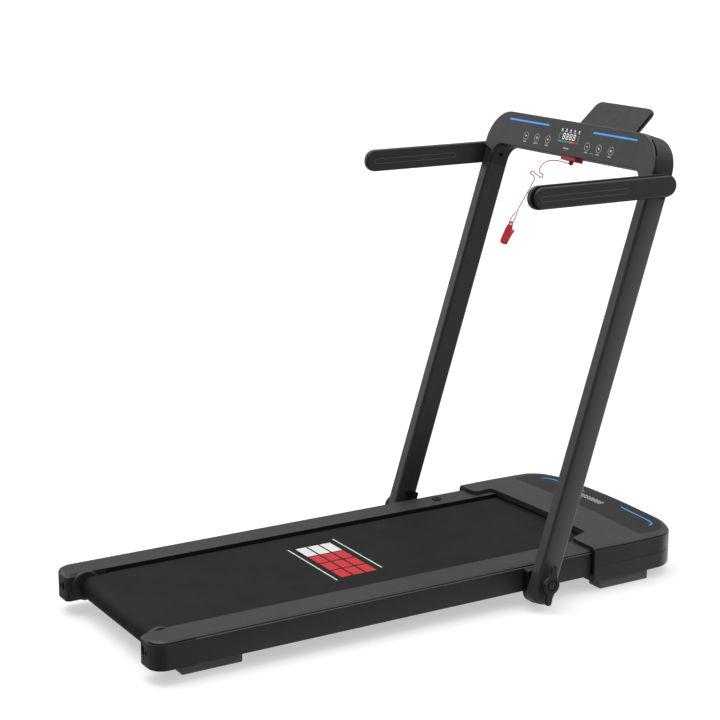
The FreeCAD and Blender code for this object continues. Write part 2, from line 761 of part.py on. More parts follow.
def roller_pulley():
    """Large pulley with a sleeve that seats on the front roller's end."""
    wheel = pulley(FRONT_ROLLER_Y, ROLLER_Z, BIG_PULLEY, AXLE_RADIUS + RUNNING_GAP, 3.2)
    sleeve = ring_x(ROLLER_HALF, PULLEY_X0 + 1, FRONT_ROLLER_Y, ROLLER_Z, 22.0, 17.0)
    return wheel.fuse(sleeve)


def drive_belt():
    return belt_loop(
        PULLEY_X0 + 2.2, PULLEY_X1 - 2.2,
        FRONT_ROLLER_Y, ROLLER_Z, BIG_PULLEY + ROLLER_GAP,
        MOTOR_Y, MOTOR_Z, SMALL_PULLEY + ROLLER_GAP,
        DRIVE_BELT,
    )


WHEEL_X = 226.0
WHEEL_Y = 1352.0
WHEEL_Z = 22.0
WHEEL_RADIUS = 18.0


def wheel_pocket():
    """Closed pocket in the tray over one transport wheel."""
    return box(WHEEL_X - 13, WHEEL_X + 13, WHEEL_Y - 22, WHEEL_Y + 22, HOOD_BOTTOM - 1, 44.0)


def wheel_housing():
    return box(WHEEL_X - 15, WHEEL_X + 15, WHEEL_Y - 24, WHEEL_Y + 24, HOOD_BOTTOM + 1, 46.0)


def transport_wheel():
    wheel = ring_x(
        WHEEL_X - 8, WHEEL_X + 8, WHEEL_Y, WHEEL_Z, WHEEL_RADIUS, 4.0 + RUNNING_GAP
    )
    return fillet_edges(wheel, 2.0, lambda e: e.BoundBox.ZLength > 2 * WHEEL_RADIUS - 1)


def wheel_axle():
    return bar_x(WHEEL_X - 13, WHEEL_X + 13, WHEEL_Y, WHEEL_Z, 4.0)


def controller():
    board = box(-190.0, -40.0, 1290.0, 1378.0, 38.0, 39.6)
    sink = box(-180.0, -60.0, 1296.0, 1326.0, 39.6, 44.0)
    fins = [box(-180.0, -60.0, 1297.0 + 7 * i, 1299.0 + 7 * i, 44.0, 62.0) for i in range(5)]
    capacitors = [bar_z(-170.0 + 34 * i, 1350.0, 39.6, 66.0, 11.0) for i in range(4)]
    return board.fuse([sink] + fins + capacitors)


def controller_posts():
    return [
        bar_z(x, y, HOOD_BOTTOM + HOOD_WALL, 38.0, 4.0)
        for x in (-184.0, -46.0)
        for y in (1296.0, 1372.0)
    ]


# ---- pivots ----
def pivot_bracket():
    """Forged pivot block between the side member and an upright, with a stop lug."""
    boss = bar_x(TUBE_OUTER, UPRIGHT_INNER - 0.5, PIVOT_Y, PIVOT_Z, 24.0)
    flange = bar_x(TUBE_OUTER, TUBE_OUTER + 2.2, PIVOT_Y, PIVOT_Z, 24.0)
    lug = plate(
        [
            (Vector(RAIL_OUTER + 0.8, 3.0, 16.0), 1),
            (Vector(RAIL_OUTER + 0.8, 20.0, 4.0), 2),
            (Vector(RAIL_OUTER + 0.8, 20.0, 53.0), 2),
            (Vector(RAIL_OUTER + 0.8, 5.6, 53.0), 1),
            (Vector(RAIL_OUTER + 0.8, 5.6, 30.0), 1),
        ],
        Vector(18.0, 0, 0),
    )
    block = plate(
        side_outline([(935.0, 92.0, 5), (993.0, 92.0, 5), (993.0, 8.0, 28), (935.0, 8.0, 28)], RAIL_OUTER + 0.6),
        Vector(UPRIGHT_INNER - 0.5 - RAIL_OUTER - 0.6, 0, 0),
    )
    block = fillet_edges(block, 1.5, lambda e: e.BoundBox.XMin > UPRIGHT_INNER - 0.6)
    body = boss.fuse([flange, leaned(lug), block])
    bore = PIVOT_BOLT_RADIUS + RUNNING_GAP
    return body.cut(bar_x(TUBE_OUTER - 1, UPRIGHT_INNER + 1, PIVOT_Y, PIVOT_Z, bore))


def pivot_bolt():
    seat = TUBE_OUTER - TUBE_WALL
    shank = bar_x(seat - 1.0, 345.5, PIVOT_Y, PIVOT_Z, PIVOT_BOLT_RADIUS)
    head = bar_x(seat - 6.0, seat, PIVOT_Y, PIVOT_Z, 10.0)
    return shank.fuse(head)


def pivot_bush():
    return leaned(ring_x(UPRIGHT_INNER, UPRIGHT_OUTER, 0, 0, 9.0, PIVOT_BOLT_RADIUS + RUNNING_GAP))


def stop_pin():
    return leaned(bar_x(UPRIGHT_INNER - 8.0, UPRIGHT_INNER, 0, 46.8, 5.0))


def knob():
    """Clamping knob: a neck, and a flat dished hub with two finger wings."""
    x0 = UPRIGHT_OUTER + 0.4
    x1 = 342.0
    neck = bar_x(x0, x1 + 1, 0, 0, 16.0)
    hub = bar_x(x1, 350.0, 0, 0, 22.0)
    hub = fillet_edges(hub, 2.4, lambda e: e.BoundBox.XMin > 349)
    hub = fillet_edges(hub, 1.5, lambda e: e.BoundBox.XMax < x1 + 0.1)
    wing = plate(
        side_outline([(-8.5, -49.0, 7.8), (8.5, -49.0, 7.8), (8.5, 49.0, 7.8), (-8.5, 49.0, 7.8)], x1),
        Vector(7.4, 0, 0),
    )
    wing = fillet_edges(wing, 2.2, lambda e: e.BoundBox.XMin > x1 + 7)
    webs = []
    for sign in (-1, 1):
        web = plate(
            side_outline([(-17.5, 0, 0), (17.5, 0, 0), (8.3, sign * 31.0, 0), (-8.3, sign * 31.0, 0)], x1),
            Vector(6.2, 0, 0),
        )
        webs.append(web)
    body = neck.fuse([hub, wing] + webs)
    body = body.cut(bar_x(347.0, 351.0, 0, 0, 13.2))
    disc = bar_x(346.0, 350.2, 0, 0, 10.3)
    disc = fillet_edges(disc, 1.2, lambda e: e.BoundBox.XMin > 350)
    body = body.fuse(disc).cut(bar_x(x0 - 1, 345.8, 0, 0, PIVOT_BOLT_RADIUS + RUNNING_GAP))
    body.rotate(Vector(0, 0, 0), Vector(1, 0, 0), KNOB_TURN)
    return leaned(body)


# ---- arch ----
def upright():
    """Rounded rectangular steel tube with a closed round foot."""
    depth = UPRIGHT_HALF_DEPTH
    outline = [
        (-depth, UPRIGHT_FOOT, 24.0),
        (depth, UPRIGHT_FOOT, 24.0),
        (depth, LEG_JOINT, 0),
        (-depth, LEG_JOINT, 0),
    ]
    body = plate(side_outline(outline, UPRIGHT_INNER), Vector(UPRIGHT_OUTER - UPRIGHT_INNER, 0, 0))
    body = fillet_edges(
        body, UPRIGHT_ROUND, lambda e: e.BoundBox.XLength < 0.01 and e.BoundBox.ZMin < LEG_JOINT - 1
    )
    wall = UPRIGHT_WALL
    inside = plate(
        side_outline(
            [
                (-depth + wall, UPRIGHT_FOOT + wall, 22.0),
                (depth - wall, UPRIGHT_FOOT + wall, 22.0),
                (depth - wall, LEG_JOINT + 1, 0),
                (-depth + wall, LEG_JOINT + 1, 0),
            ],
            UPRIGHT_INNER + wall,
        ),
        Vector(UPRIGHT_OUTER - UPRIGHT_INNER - 2 * wall, 0, 0),
    )
    inside = fillet_edges(
        inside, UPRIGHT_ROUND - wall, lambda e: e.BoundBox.XLength < 0.01 and e.BoundBox.ZMin < LEG_JOINT
    )
    body = body.cut(inside)
    return body.cut(bar_x(UPRIGHT_INNER - 1, UPRIGHT_OUTER + 1, 0, 0, 9.0))


def arch_outline(inset, low, lower_edge):
    """Console outline seen square on, with its two legs."""
    outer = UPRIGHT_OUTER - inset
    inner = UPRIGHT_INNER + inset
    half = [
        (inner, lower_edge, CONSOLE_INNER_CORNER + inset),
        (inner, low, 0),
        (outer, low, 0),
        (outer, CONSOLE_TOP - inset, CONSOLE_CORNER - inset),
    ]
    left = [(-x, w, radius) for x, w, radius in reversed(half)]
    return half + left


def console_housing():
    """Console shell with two short legs, open towards the walker above the legs."""
    depth = UPRIGHT_HALF_DEPTH
    wall = CONSOLE_WALL
    outer = plate(
        front_outline(arch_outline(0, LEG_JOINT, CONSOLE_LOWER), -depth), Vector(0, 2 * depth, 0)
    )
    outer = fillet_edges(
        outer, UPRIGHT_ROUND, lambda e: e.BoundBox.YMin > depth - 0.01 and e.BoundBox.ZMin > LEG_JOINT - 0.01
        and not (e.BoundBox.ZMax < LEG_JOINT + 0.1)
    )
    outer = fillet_edges(
        outer, UPRIGHT_ROUND, lambda e: e.BoundBox.YMax < -depth + 0.01 and not (e.BoundBox.ZMax < LEG_JOINT + 0.1)
    )
    cavity = plate(
        front_outline(arch_outline(wall, LEG_JOINT - 1, CONSOLE_LOWER + wall), -depth + wall),
        Vector(0, 2 * depth - 2 * wall, 0),
    )
    mouth = box(-322.0, 322.0, -depth - 1, -depth + wall + 1, 978.0, 1040.0)
    shell = outer.cut(cavity).cut(mouth)
    for hole in (
        bar_x(UPRIGHT_INNER - 2, UPRIGHT_INNER + 4, 0, HANDLE_W, 8.0),
        bar_x(UPRIGHT_OUTER - 4, UPRIGHT_OUTER + 2, 0, HANDLE_W, 5.2),
    ):
        shell = shell.cut(hole).cut(other_side(hole))
    socket = box(KEY_X - 12, KEY_X + 12, -22.0, -8.0, CONSOLE_LOWER - 1, CONSOLE_LOWER + wall + 1)
    return leaned(shell.cut(socket))


HANDLE_W = (HANDLE_LEVEL - PIVOT_Z) / math.cos(math.radians(LEAN))
HANDLE_PIVOT_Y = PIVOT_Y + HANDLE_W * math.sin(math.radians(LEAN))


def face_outline(inset):
    outer = 330.0 - inset
    inner = 290.0 + inset
    half = [
        (inner, CONSOLE_LOWER + inset, 30.0 + inset),
        (inner, 945.0 + inset, 1.0),
        (outer, 958.0 + inset, 1.5),
        (outer, CONSOLE_TOP - 1.0 - inset, 79.0 - inset),
    ]
    left = [(-x, w, radius) for x, w, radius in reversed(half)]
    return half + left


def console_face():
    """Face plate standing proud of the housing, with a shadow gap behind its rim."""
    back = -UPRIGHT_HALF_DEPTH
    front_face = plate(
        front_outline(face_outline(0), FACE_FRONT + 1.2), Vector(0, back - FACE_GAP_DEPTH - FACE_FRONT - 1.2, 0)
    )
    edge = loft(
        front_outline(face_outline(1.2), FACE_FRONT), front_outline(face_outline(0), FACE_FRONT + 1.2)
    )
    root = plate(
        front_outline(face_outline(2.2), back - FACE_GAP_DEPTH), Vector(0, FACE_GAP_DEPTH, 0)
    )
    body = front_face.fuse([edge, root]).removeSplitter()
    for strip in console_strips():
        body = body.cut(strip)
    return leaned(body)


def console_strips():
    """Two light strips, let into the face plate."""
    bar = plate(
        front_outline(
            [
                (87.0, STRIP_LEVEL - 2.1, 2.0),
                (251.0, STRIP_LEVEL - 2.1, 2.0),
                (251.0, STRIP_LEVEL + 2.1, 2.0),
                (87.0, STRIP_LEVEL + 2.1, 2.0),
            ],
            FACE_FRONT - 0.3,
        ),
        Vector(0, 1.8, 0),
    )
    return both(bar)


def console_board():
    board = box(-210.0, 210.0, -24.4, -22.8, 984.0, 1038.0)
    display = box(-45.0, 45.0, -27.0, -24.4, 994.0, 1034.0)
    return leaned(board.fuse(display))


def console_board_posts():
    posts = []
    for x in (-195.0, -70.0, 70.0, 195.0):
        posts.append(leaned(Part.makeCylinder(4.0, 48.3, Vector(x, -22.8, 1011.0), Vector(0, 1, 0))))
    return posts


def key_socket():
    """Magnetic sensor block behind the console's lower wall."""
    block = box(KEY_X - 16, KEY_X + 16, -25.0, -5.0, CONSOLE_LOWER + CONSOLE_WALL, CONSOLE_LOWER + 13)
    stub = box(KEY_X - 11.8, KEY_X + 11.8, -21.8, -8.2, CONSOLE_LOWER + 0.2, CONSOLE_LOWER + CONSOLE_WALL)
    return leaned(block.fuse(stub))


def leg_spigot():
    """Steel sleeve that joins an upright to a console leg."""
    outer = box(300.2, 327.8, -25.2, 25.2, 862.0, 966.0)
    outer = fillet_edges(outer, 4.0, lambda e: e.BoundBox.ZLength > 100)
    inside = box(302.2, 325.8, -23.2, 23.2, 861.0, 967.0)
    spacer = bar_x(308.0, 326.5, 0, HANDLE_W, 9.0)
    sleeve = outer.cut(inside).cut(bar_x(299.0, 303.0, 0, HANDLE_W, 8.0)).fuse(spacer)
    return leaned(sleeve.cut(bar_x(305.0, 330.0, 0, HANDLE_W, 5.05)))


def handle_bolt():
    shank = bar_x(307.0, 352.5, 0, HANDLE_W, 5.0)
    head = bar_x(304.5, 308.0, 0, HANDLE_W, 7.4)
    socket = bar_x(304.0, 306.5, 0, HANDLE_W, 3.4)
    return leaned(shank.fuse(head).cut(socket))


def handle_washer():
    return leaned(ring_x(UPRIGHT_OUTER, HANDLE_INNER - 0.3, 0, HANDLE_W, 15.0, 5.05))


# ---- handles ----
def stadium(inset, x, rear=0.0):
    r = HANDLE_HALF_HEIGHT - inset
    y0 = HANDLE_REAR + inset + rear
    y1 = HANDLE_FRONT - inset
    z0 = HANDLE_LEVEL - r
    z1 = HANDLE_LEVEL + r
    return side_outline([(y0, z0, r - 0.01), (y1, z0, r - 0.01), (y1, z1, r - 0.01), (y0, z1, r - 0.01)], x)


def grip_rib(x, height):
    """Thin raised line, drawn as a long stadium along the grip."""
    def stadium_plate(y0, y1, half_height):
        z0 = HANDLE_LEVEL - 1.5 - half_height
        z1 = HANDLE_LEVEL - 1.5 + half_height
        r = half_height - 0.01
        corners = side_outline([(y0, z0, r), (y1, z0, r), (y1, z1, r), (y0, z1, r)], x)
        return plate(corners, Vector(height, 0, 0))
    outer = stadium_plate(901.0, 1140.5, 6.5)
    return outer.cut(stadium_plate(902.4, 1139.1, 5.1))


def rounded_half(x_flat, x_round, soften, inset, rear=0.0):
    """Half of a handle's casing, softened along its outer rim."""
    x0 = min(x_flat, x_round)
    body = plate(stadium(inset, x0, rear), Vector(abs(x_round - x_flat), 0, 0))
    return fillet_edges(body, soften, lambda e: abs(e.BoundBox.XMin - x_round) < 0.01 and e.BoundBox.XLength < 0.01)


def handle_inner_shell():
    body = rounded_half(HANDLE_SEAM, HANDLE_INNER, 4.0, 0)
    body = body.cut(plate(stadium(3.0, HANDLE_INNER + 3.0), Vector(20.0, 0, 0)))
    body = body.fuse(grip_rib(HANDLE_INNER - 0.4, 1.4))
    return body.cut(bar_x(HANDLE_INNER - 1, HANDLE_SEAM + 1, HANDLE_PIVOT_Y, HANDLE_LEVEL, 5.05))


def handle_outer_shell():
    inset = HANDLE_COVER_INSET
    rear = HANDLE_COVER_REAR
    body = rounded_half(HANDLE_SEAM + HANDLE_SEAM_WIDTH, HANDLE_OUTER, 4.0, inset, rear)
    inside = plate(stadium(inset + 3.0, HANDLE_SEAM, rear), Vector(HANDLE_OUTER - 3.0 - HANDLE_SEAM, 0, 0))
    return body.cut(inside).fuse(grip_rib(HANDLE_OUTER - 1.0, 1.4))


def handle_core():
    """Flat steel bar that carries both halves of the casing."""
    end = HANDLE_OUTER - 3.1
    rear = HANDLE_COVER_REAR
    wide = plate(stadium(3.4, HANDLE_INNER + 3.0), Vector(HANDLE_SEAM - HANDLE_INNER - 3.0, 0, 0))
    narrow = plate(stadium(HANDLE_COVER_INSET + 3.3, HANDLE_SEAM, rear), Vector(end - HANDLE_SEAM, 0, 0))
    inside = plate(stadium(9.0, HANDLE_INNER + 5.5, rear), Vector(end - HANDLE_INNER - 8.0, 0, 0))
    solid_end = box(300.0, 400.0, HANDLE_PIVOT_Y - 22, HANDLE_PIVOT_Y + 60, 900.0, 1000.0)
    body = wide.fuse(narrow).cut(inside.cut(solid_end))
    return body.cut(bar_x(HANDLE_INNER, 353.0, HANDLE_PIVOT_Y, HANDLE_LEVEL, 5.05))


# ---- tablet holder ----
def tablet_placed(shape):
    """Drawn standing on its hinge line, then tilted back about it."""
    moved = shape.copy()
    tilt = Placement(
        Vector(0, TABLET_PIVOT_D, TABLET_PIVOT_W), Rotation(Vector(1, 0, 0), -TABLET_TILT)
    )
    moved.Placement = tilt.multiply(moved.Placement)
    return leaned(moved)


def tablet_outline(inset, low):
    slope = (TABLET_ROOT_HALF - TABLET_TOP_HALF) / TABLET_LENGTH
    low_half = TABLET_ROOT_HALF - slope * low
    half = [
        (low_half - inset, low + inset, 4.0),
        (TABLET_TOP_HALF - inset, TABLET_LENGTH - inset, 20.0 - inset),
    ]
    left = [(-x, w, radius) for x, w, radius in reversed(half)]
    return half + left


def tablet_front_panel():
    low = 9.0
    panel = plate(front_outline(tablet_outline(1.5, low), -6.3), Vector(0, 2.1, 0))
    edge = loft(
        front_outline(tablet_outline(2.3, low), -7.0), front_outline(tablet_outline(1.5, low), -6.3)
    )
    return tablet_placed(panel.fuse(edge).removeSplitter())


def tablet_back_shell():
    low = 9.0
    spacer = plate(front_outline(tablet_outline(4.2, low), -4.2), Vector(0, 2.3, 0))
    lip = loft(front_outline(tablet_outline(1.0, low), -2.0), front_outline(tablet_outline(0, low), -1.0))
    rim = plate(front_outline(tablet_outline(0, low), -1.0), Vector(0, 3.8, 0))
    back = loft(
        front_outline(tablet_outline(0, low), 2.8), front_outline(tablet_outline(1.2, low), 4.0)
    )
    body = spacer.fuse([lip, rim, back]).removeSplitter()
    arms = []
    for x in (-70.0, 50.0):
        arm = box(x, x + 20.0, -1.2, 4.0, 0.0, 12.0)
        arms.append(arm.fuse(bar_x(x, x + 20.0, 0, 0, 6.0)))
    body = body.fuse(arms)
    return tablet_placed(body.cut(bar_x(-75.0, 75.0, 0, 0, 2.5 + RUNNING_GAP)))


def tablet_hinge():
    """Hinge lugs, pin and small shelf on the console's back."""
    back = UPRIGHT_HALF_DEPTH
    lugs = []
    for x in (-78.0, -49.5, 41.5, 70.5):
        width = 7.5
        lug = box(x, x + width, back, TABLET_PIVOT_D, TABLET_PIVOT_W - 6, TABLET_PIVOT_W + 6)
        eye = bar_x(x, x + width, TABLET_PIVOT_D, TABLET_PIVOT_W, 6.0)
        lugs.append(lug.fuse(eye).cut(bar_x(x - 1, x + width + 1, TABLET_PIVOT_D, TABLET_PIVOT_W, 2.5)))
    return [leaned(lug) for lug in lugs]


def tablet_shelf():
    back = UPRIGHT_HALF_DEPTH
    shelf = box(-95.0, 95.0, back, back + 26.0, TABLET_PIVOT_W - 14, TABLET_PIVOT_W - 11)
    return leaned(fillet_edges(shelf, 1.2, lambda e: e.BoundBox.YMin > back + 25.9 and e.Length > 100))


def tablet_pin():
    return leaned(bar_x(-79.0, 79.0, TABLET_PIVOT_D, TABLET_PIVOT_W, 2.5))


# ---- safety key, cord and clip ----
def safety_key():
    """Magnetic key: a flat bar under the console with a ball for its cord."""
    top = CONSOLE_LOWER - 0.3
    bar = box(
        KEY_X - KEY_HALF_WIDTH, KEY_X + KEY_HALF_WIDTH, KEY_REAR_D, KEY_FRONT_D, top - KEY_HEIGHT, top
    )
    bar = fillet_edges(bar, 4.0, lambda e: e.BoundBox.ZLength > KEY_HEIGHT - 0.1)
    bar = fillet_edges(bar, 1.5, lambda e: e.BoundBox.ZMax < top - KEY_HEIGHT + 0.1)
    ball = Part.makeSphere(KEY_BALL_RADIUS, Vector(KEY_X, KEY_BALL_D, KEY_BALL_W))
    neck = bar_z(KEY_X, KEY_BALL_D, KEY_BALL_W, top - KEY_HEIGHT + 1, 4.2)
    return leaned(bar.fuse([ball, neck]))


def clip_placed(shape):
    moved = shape.copy()
    twist = Placement(Vector(0, 0, 0), Rotation(Vector(0, 0, 1), CLIP_TWIST))
    swing = Placement(CLIP_EYE, Rotation(Vector(1, 0, 0), CLIP_SWING))
    moved.Placement = swing.multiply(twist).multiply(moved.Placement)
    return moved


CLIP_PIN_W = -26.0
CLIP_PIN_D = 5.6


def clip_front_jaw():
    """Long leaf with the cord's eye at its upper end."""
    half = CLIP_WIDTH / 2
    leaf = plate(
        front_outline(
            [
                (-3.6, 6.0, 3.4),
                (3.6, 6.0, 3.4),
                (half, -12.0, 14.0),
                (half, -CLIP_LENGTH, 8.0),
                (-half, -CLIP_LENGTH, 8.0),
                (-half, -12.0, 14.0),
            ],
            -1.3,
        ),
        Vector(0, 2.6, 0),
    )
    leaf = fillet_edges(leaf, 1.0, lambda e: e.BoundBox.YMax < -1.29)
    jaw = box(-6.5, 6.5, 1.2, 3.6, -CLIP_LENGTH + 2, -CLIP_LENGTH + 8)
    ears = [
        box(x, x + 1.8, 1.2, CLIP_PIN_D + 2.6, CLIP_PIN_W - 4, CLIP_PIN_W + 4) for x in (-6.0, 4.2)
    ]
    body = leaf.fuse([jaw] + ears)
    eye = Part.makeCylinder(3.3, 10.0, Vector(0, -5.0, 0), Vector(0, 1, 0))
    pin = bar_x(-6.0, 6.0, CLIP_PIN_D, CLIP_PIN_W, 1.2)
    return clip_placed(body.cut(eye).fuse(pin))


def clip_back_jaw():
    """Spring-loaded leaf, hinged between the front leaf's ears."""
    half = CLIP_WIDTH / 2 - 1.0
    leaf = plate(
        side_outline(
            [
                (4.4, -CLIP_LENGTH + 3.0, 0.8),
                (7.0, -CLIP_LENGTH + 1.0, 1.0),
                (10.6, -26.0, 10.0),
                (17.6, -10.0, 1.2),
                (15.4, -8.8, 1.2),
                (8.4, -25.6, 10.0),
            ],
            -half,
        ),
        Vector(2 * half, 0, 0),
    )
    trim = plate(
        front_outline(
            [
                (-half, -9.0 + 1.5, 6.0),
                (half, -9.0 + 1.5, 6.0),
                (half, -CLIP_LENGTH - 1, 7.0),
                (-half, -CLIP_LENGTH - 1, 7.0),
            ],
            0.0,
        ),
        Vector(0, 30.0, 0),
    )
    leaf = leaf.common(trim)
    knuckles = [box(x, x + 1.8, CLIP_PIN_D - 2.4, 9.4, CLIP_PIN_W - 2.4, CLIP_PIN_W + 2.4) for x in (-4.0, 2.2)]
    body = leaf.fuse(knuckles)
    ear_gaps = [box(x, x + 2.2, 0.0, CLIP_PIN_D + 3.2, CLIP_PIN_W - 4.8, CLIP_PIN_W + 4.8) for x in (-6.2, 4.0)]
    for gap in ear_gaps:
        body = body.cut(gap)
    return clip_placed(body.cut(bar_x(-8, 8, CLIP_PIN_D, CLIP_PIN_W, 1.25)))


def clip_spring():
    """Spring coil round the pin, carried by the back leaf."""
    coil = ring_x(-1.9, 1.9, CLIP_PIN_D, CLIP_PIN_W, 2.4, 1.25)
    return clip_placed(coil.fuse(box(-1.9, 1.9, CLIP_PIN_D + 1.4, 9.0, CLIP_PIN_W - 1, CLIP_PIN_W + 1)))


def cord_path(points):
    """Straight runs joined by the largest arcs that each pair of runs allows."""
    edges = []
    radii = []
    last = points[0]
    for i in range(1, len(points) - 1):
        point = points[i]
        back = points[i - 1] - point
        ahead = points[i + 1] - point
        shorter = min(back.Length, ahead.Length)
        back.normalize()
        ahead.normalize()
        half = back.getAngle(ahead) / 2
        turn = math.pi - 2 * half
        radius = 0.45 * shorter / math.tan(turn / 2)
        radii.append(radius)
        start = point + back * 0.45 * shorter
        end = point + ahead * 0.45 * shorter
        middle_direction = (back + ahead).normalize()
        middle = point + middle_direction * (radius / math.sin(half) - radius)
        edges.append(Part.LineSegment(last, start).toShape())
        edges.append(Part.Arc(start, middle, end).toShape())
        last = end
    edges.append(Part.LineSegment(last, points[-1]).toShape())
    return Part.Wire(edges), radii


def safety_cord():
    wire, radii = cord_path(CORD_ROUTE)
    heading = (CORD_ROUTE[1] - CORD_ROUTE[0]).normalize()
    circle = Part.Wire([Part.Circle(CORD_ROUTE[0], heading, CORD_RADIUS).toShape()])
    tube = wire.makePipeShell([circle], True, True)
    expected = math.pi * CORD_RADIUS ** 2 * wire.Length
    print("cord length %.1f mm, volume share %.4f" % (wire.Length, tube.Volume / expected))
    print("cord radii", ", ".join("%.1f" % r for r in radii))
    knot = Part.makeSphere(CORD_RADIUS * 3.1, (CORD_ROUTE[-8] + CORD_ROUTE[-1]) * 0.5)
    return tube.fuse(knot)


# ---- assembly ----
def build_deck():
    for side, sign in SIDES:
        add(side + "_rail_cover", on_side(rail_cover(), sign))
        add(side + "_rear_cap", on_side(rear_cap(), sign))
        add(side + "_frame_tube", on_side(frame_tube(), sign))
    add("rail_bumpers", *both(rail_bumper()))
    add("cross_members", *cross_members())
    add("deck_cushions", *deck_cushions())
    add("deck_board", deck_board())
    add("walking_belt", belt_loop(
        -BELT_HALF_WIDTH, BELT_HALF_WIDTH,
        REAR_ROLLER_Y, ROLLER_Z, ROLLER_RADIUS + ROLLER_GAP,
        FRONT_ROLLER_Y, ROLLER_Z, ROLLER_RADIUS + ROLLER_GAP,
        BELT_THICKNESS,
    ))
    front_axle = bar_x(-AXLE_HALF + 4, AXLE_HALF - 4, FRONT_ROLLER_Y, ROLLER_Z, AXLE_RADIUS)
    add("axles", rear_axle(), front_axle, *both(wheel_axle()))
    add("tension_bolts", *both(tension_bolt()))
    add("rear_feet", *both(rear_foot()))
    add("front_feet", *both(foot(241.0, 280.0, 1155.0, 1300.0, HOOD_BOTTOM)))


def build_rollers():
    for name, y in (("rear", REAR_ROLLER_Y), ("front", FRONT_ROLLER_Y)):
        add(name + "_roller", roller(y))
        add(name + "_roller_bearings", *roller_bearings(y))


def build_hood():
    add("hood_cover", hood_cover())
    add("hood_tray", hood_tray())
    add("hood_display_panel", hood_panel())
    add("hood_light_strips", *both(hood_strip(0.35)))
    add("power_inlet", power_inlet(), rocker_switch_frame(), breaker_body())
    add("power_switch", power_rocker())
    add("breaker_button", breaker_button())
    add("motor_housing", motor_housing().fuse(motor_mount()))
    small = pulley(MOTOR_Y, MOTOR_Z, SMALL_PULLEY, 4.9, 3.2)
    add("motor_rotor", motor_rotor().fuse([cooling_fan(), small]))
    add("roller_pulley", roller_pulley())
    add("drive_belt", drive_belt())
    add("motor_controller", controller().fuse(controller_posts()))
    for side, sign in SIDES:
        add(side + "_transport_wheel", on_side(transport_wheel(), sign))


def build_pivots():
    add("pivot_brackets", *both(pivot_bracket()))
    add("pivot_bolts", *both(pivot_bolt()))
    add("pivot_bushes", *(both(pivot_bush()) + both(stop_pin())))
    for side, sign in SIDES:
        add(side + "_knob", on_side(knob(), sign))


def build_arch():
    for side, sign in SIDES:
        add(side + "_upright", on_side(leaned(upright()), sign))
    add("console_housing", console_housing())
    add("console_face", console_face())
    add("console_light_strips", *[leaned(strip) for strip in console_strips()])
    add("console_board", console_board().fuse(console_board_posts()))
    add("key_sensor", key_socket())
    add("leg_spigots", *both(leg_spigot()))
    add("handle_bolts", *(both(handle_bolt()) + both(handle_washer())))
    add("tablet_bracket", *(tablet_hinge() + [tablet_shelf(), tablet_pin()]))


def build_handles():
    for side, sign in SIDES:
        add(side + "_handle_inner", on_side(handle_inner_shell(), sign))
        add(side + "_handle_outer", on_side(handle_outer_shell(), sign))
        add(side + "_handle_bar", on_side(handle_core(), sign))


def build_tablet_and_key():
    add("tablet_front_panel", tablet_front_panel())
    add("tablet_back_shell", tablet_back_shell())
    add("safety_key", safety_key())
    add("safety_cord", safety_cord())
    add("clip_front_jaw", clip_front_jaw())
    add("clip_back_jaw", clip_back_jaw().fuse(clip_spring()))


def write_nodes():
    os.makedirs("parts", exist_ok=True)
    centre = Vector(0, -LENGTH / 2, 0)
    for name, shapes in NODES.items():
        placed = []
        for shape in shapes:
            moved = shape.copy()
            moved.translate(centre)
            placed.append(moved)
            if not moved.isValid() or len(moved.Solids) != 1:
                print("check", name, moved.isValid(), len(moved.Solids))
        result = placed[0] if len(placed) == 1 else Part.makeCompound(placed)
        result.exportStep("parts/" + name + ".step")
    print(len(NODES), "nodes")


build_deck()
build_rollers()
build_hood()
build_pivots()
build_arch()
build_handles()
build_tablet_and_key()
write_nodes()
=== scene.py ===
"""Folding treadmill: materials, printed marks, cord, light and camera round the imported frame."""
import math

import bmesh
import bpy
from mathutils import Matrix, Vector


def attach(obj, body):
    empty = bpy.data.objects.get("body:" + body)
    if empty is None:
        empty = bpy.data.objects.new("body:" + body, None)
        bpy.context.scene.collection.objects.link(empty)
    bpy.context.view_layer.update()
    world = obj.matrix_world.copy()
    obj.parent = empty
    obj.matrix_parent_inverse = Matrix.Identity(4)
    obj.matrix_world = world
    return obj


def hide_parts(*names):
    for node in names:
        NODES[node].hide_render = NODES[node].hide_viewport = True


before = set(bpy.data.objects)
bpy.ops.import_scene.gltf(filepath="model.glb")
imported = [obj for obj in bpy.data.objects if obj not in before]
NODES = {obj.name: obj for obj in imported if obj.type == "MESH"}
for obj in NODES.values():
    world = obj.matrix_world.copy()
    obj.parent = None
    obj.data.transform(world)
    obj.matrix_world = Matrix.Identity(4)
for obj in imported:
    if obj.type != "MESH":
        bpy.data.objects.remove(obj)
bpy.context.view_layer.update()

# ---- where things are, in the maker's millimetres ----
HALF_LENGTH = 709.5            # the row frame's Y is measured from the middle of the length
LEAN = math.radians(17.8)      # the uprights' lean
PIVOT_Y = 964.0
PIVOT_Z = 67.0
FACE_D = -33.4                 # console face plane, measured across the lean
HOOD_TOP = 108.5
BELT_TOP = 91.0

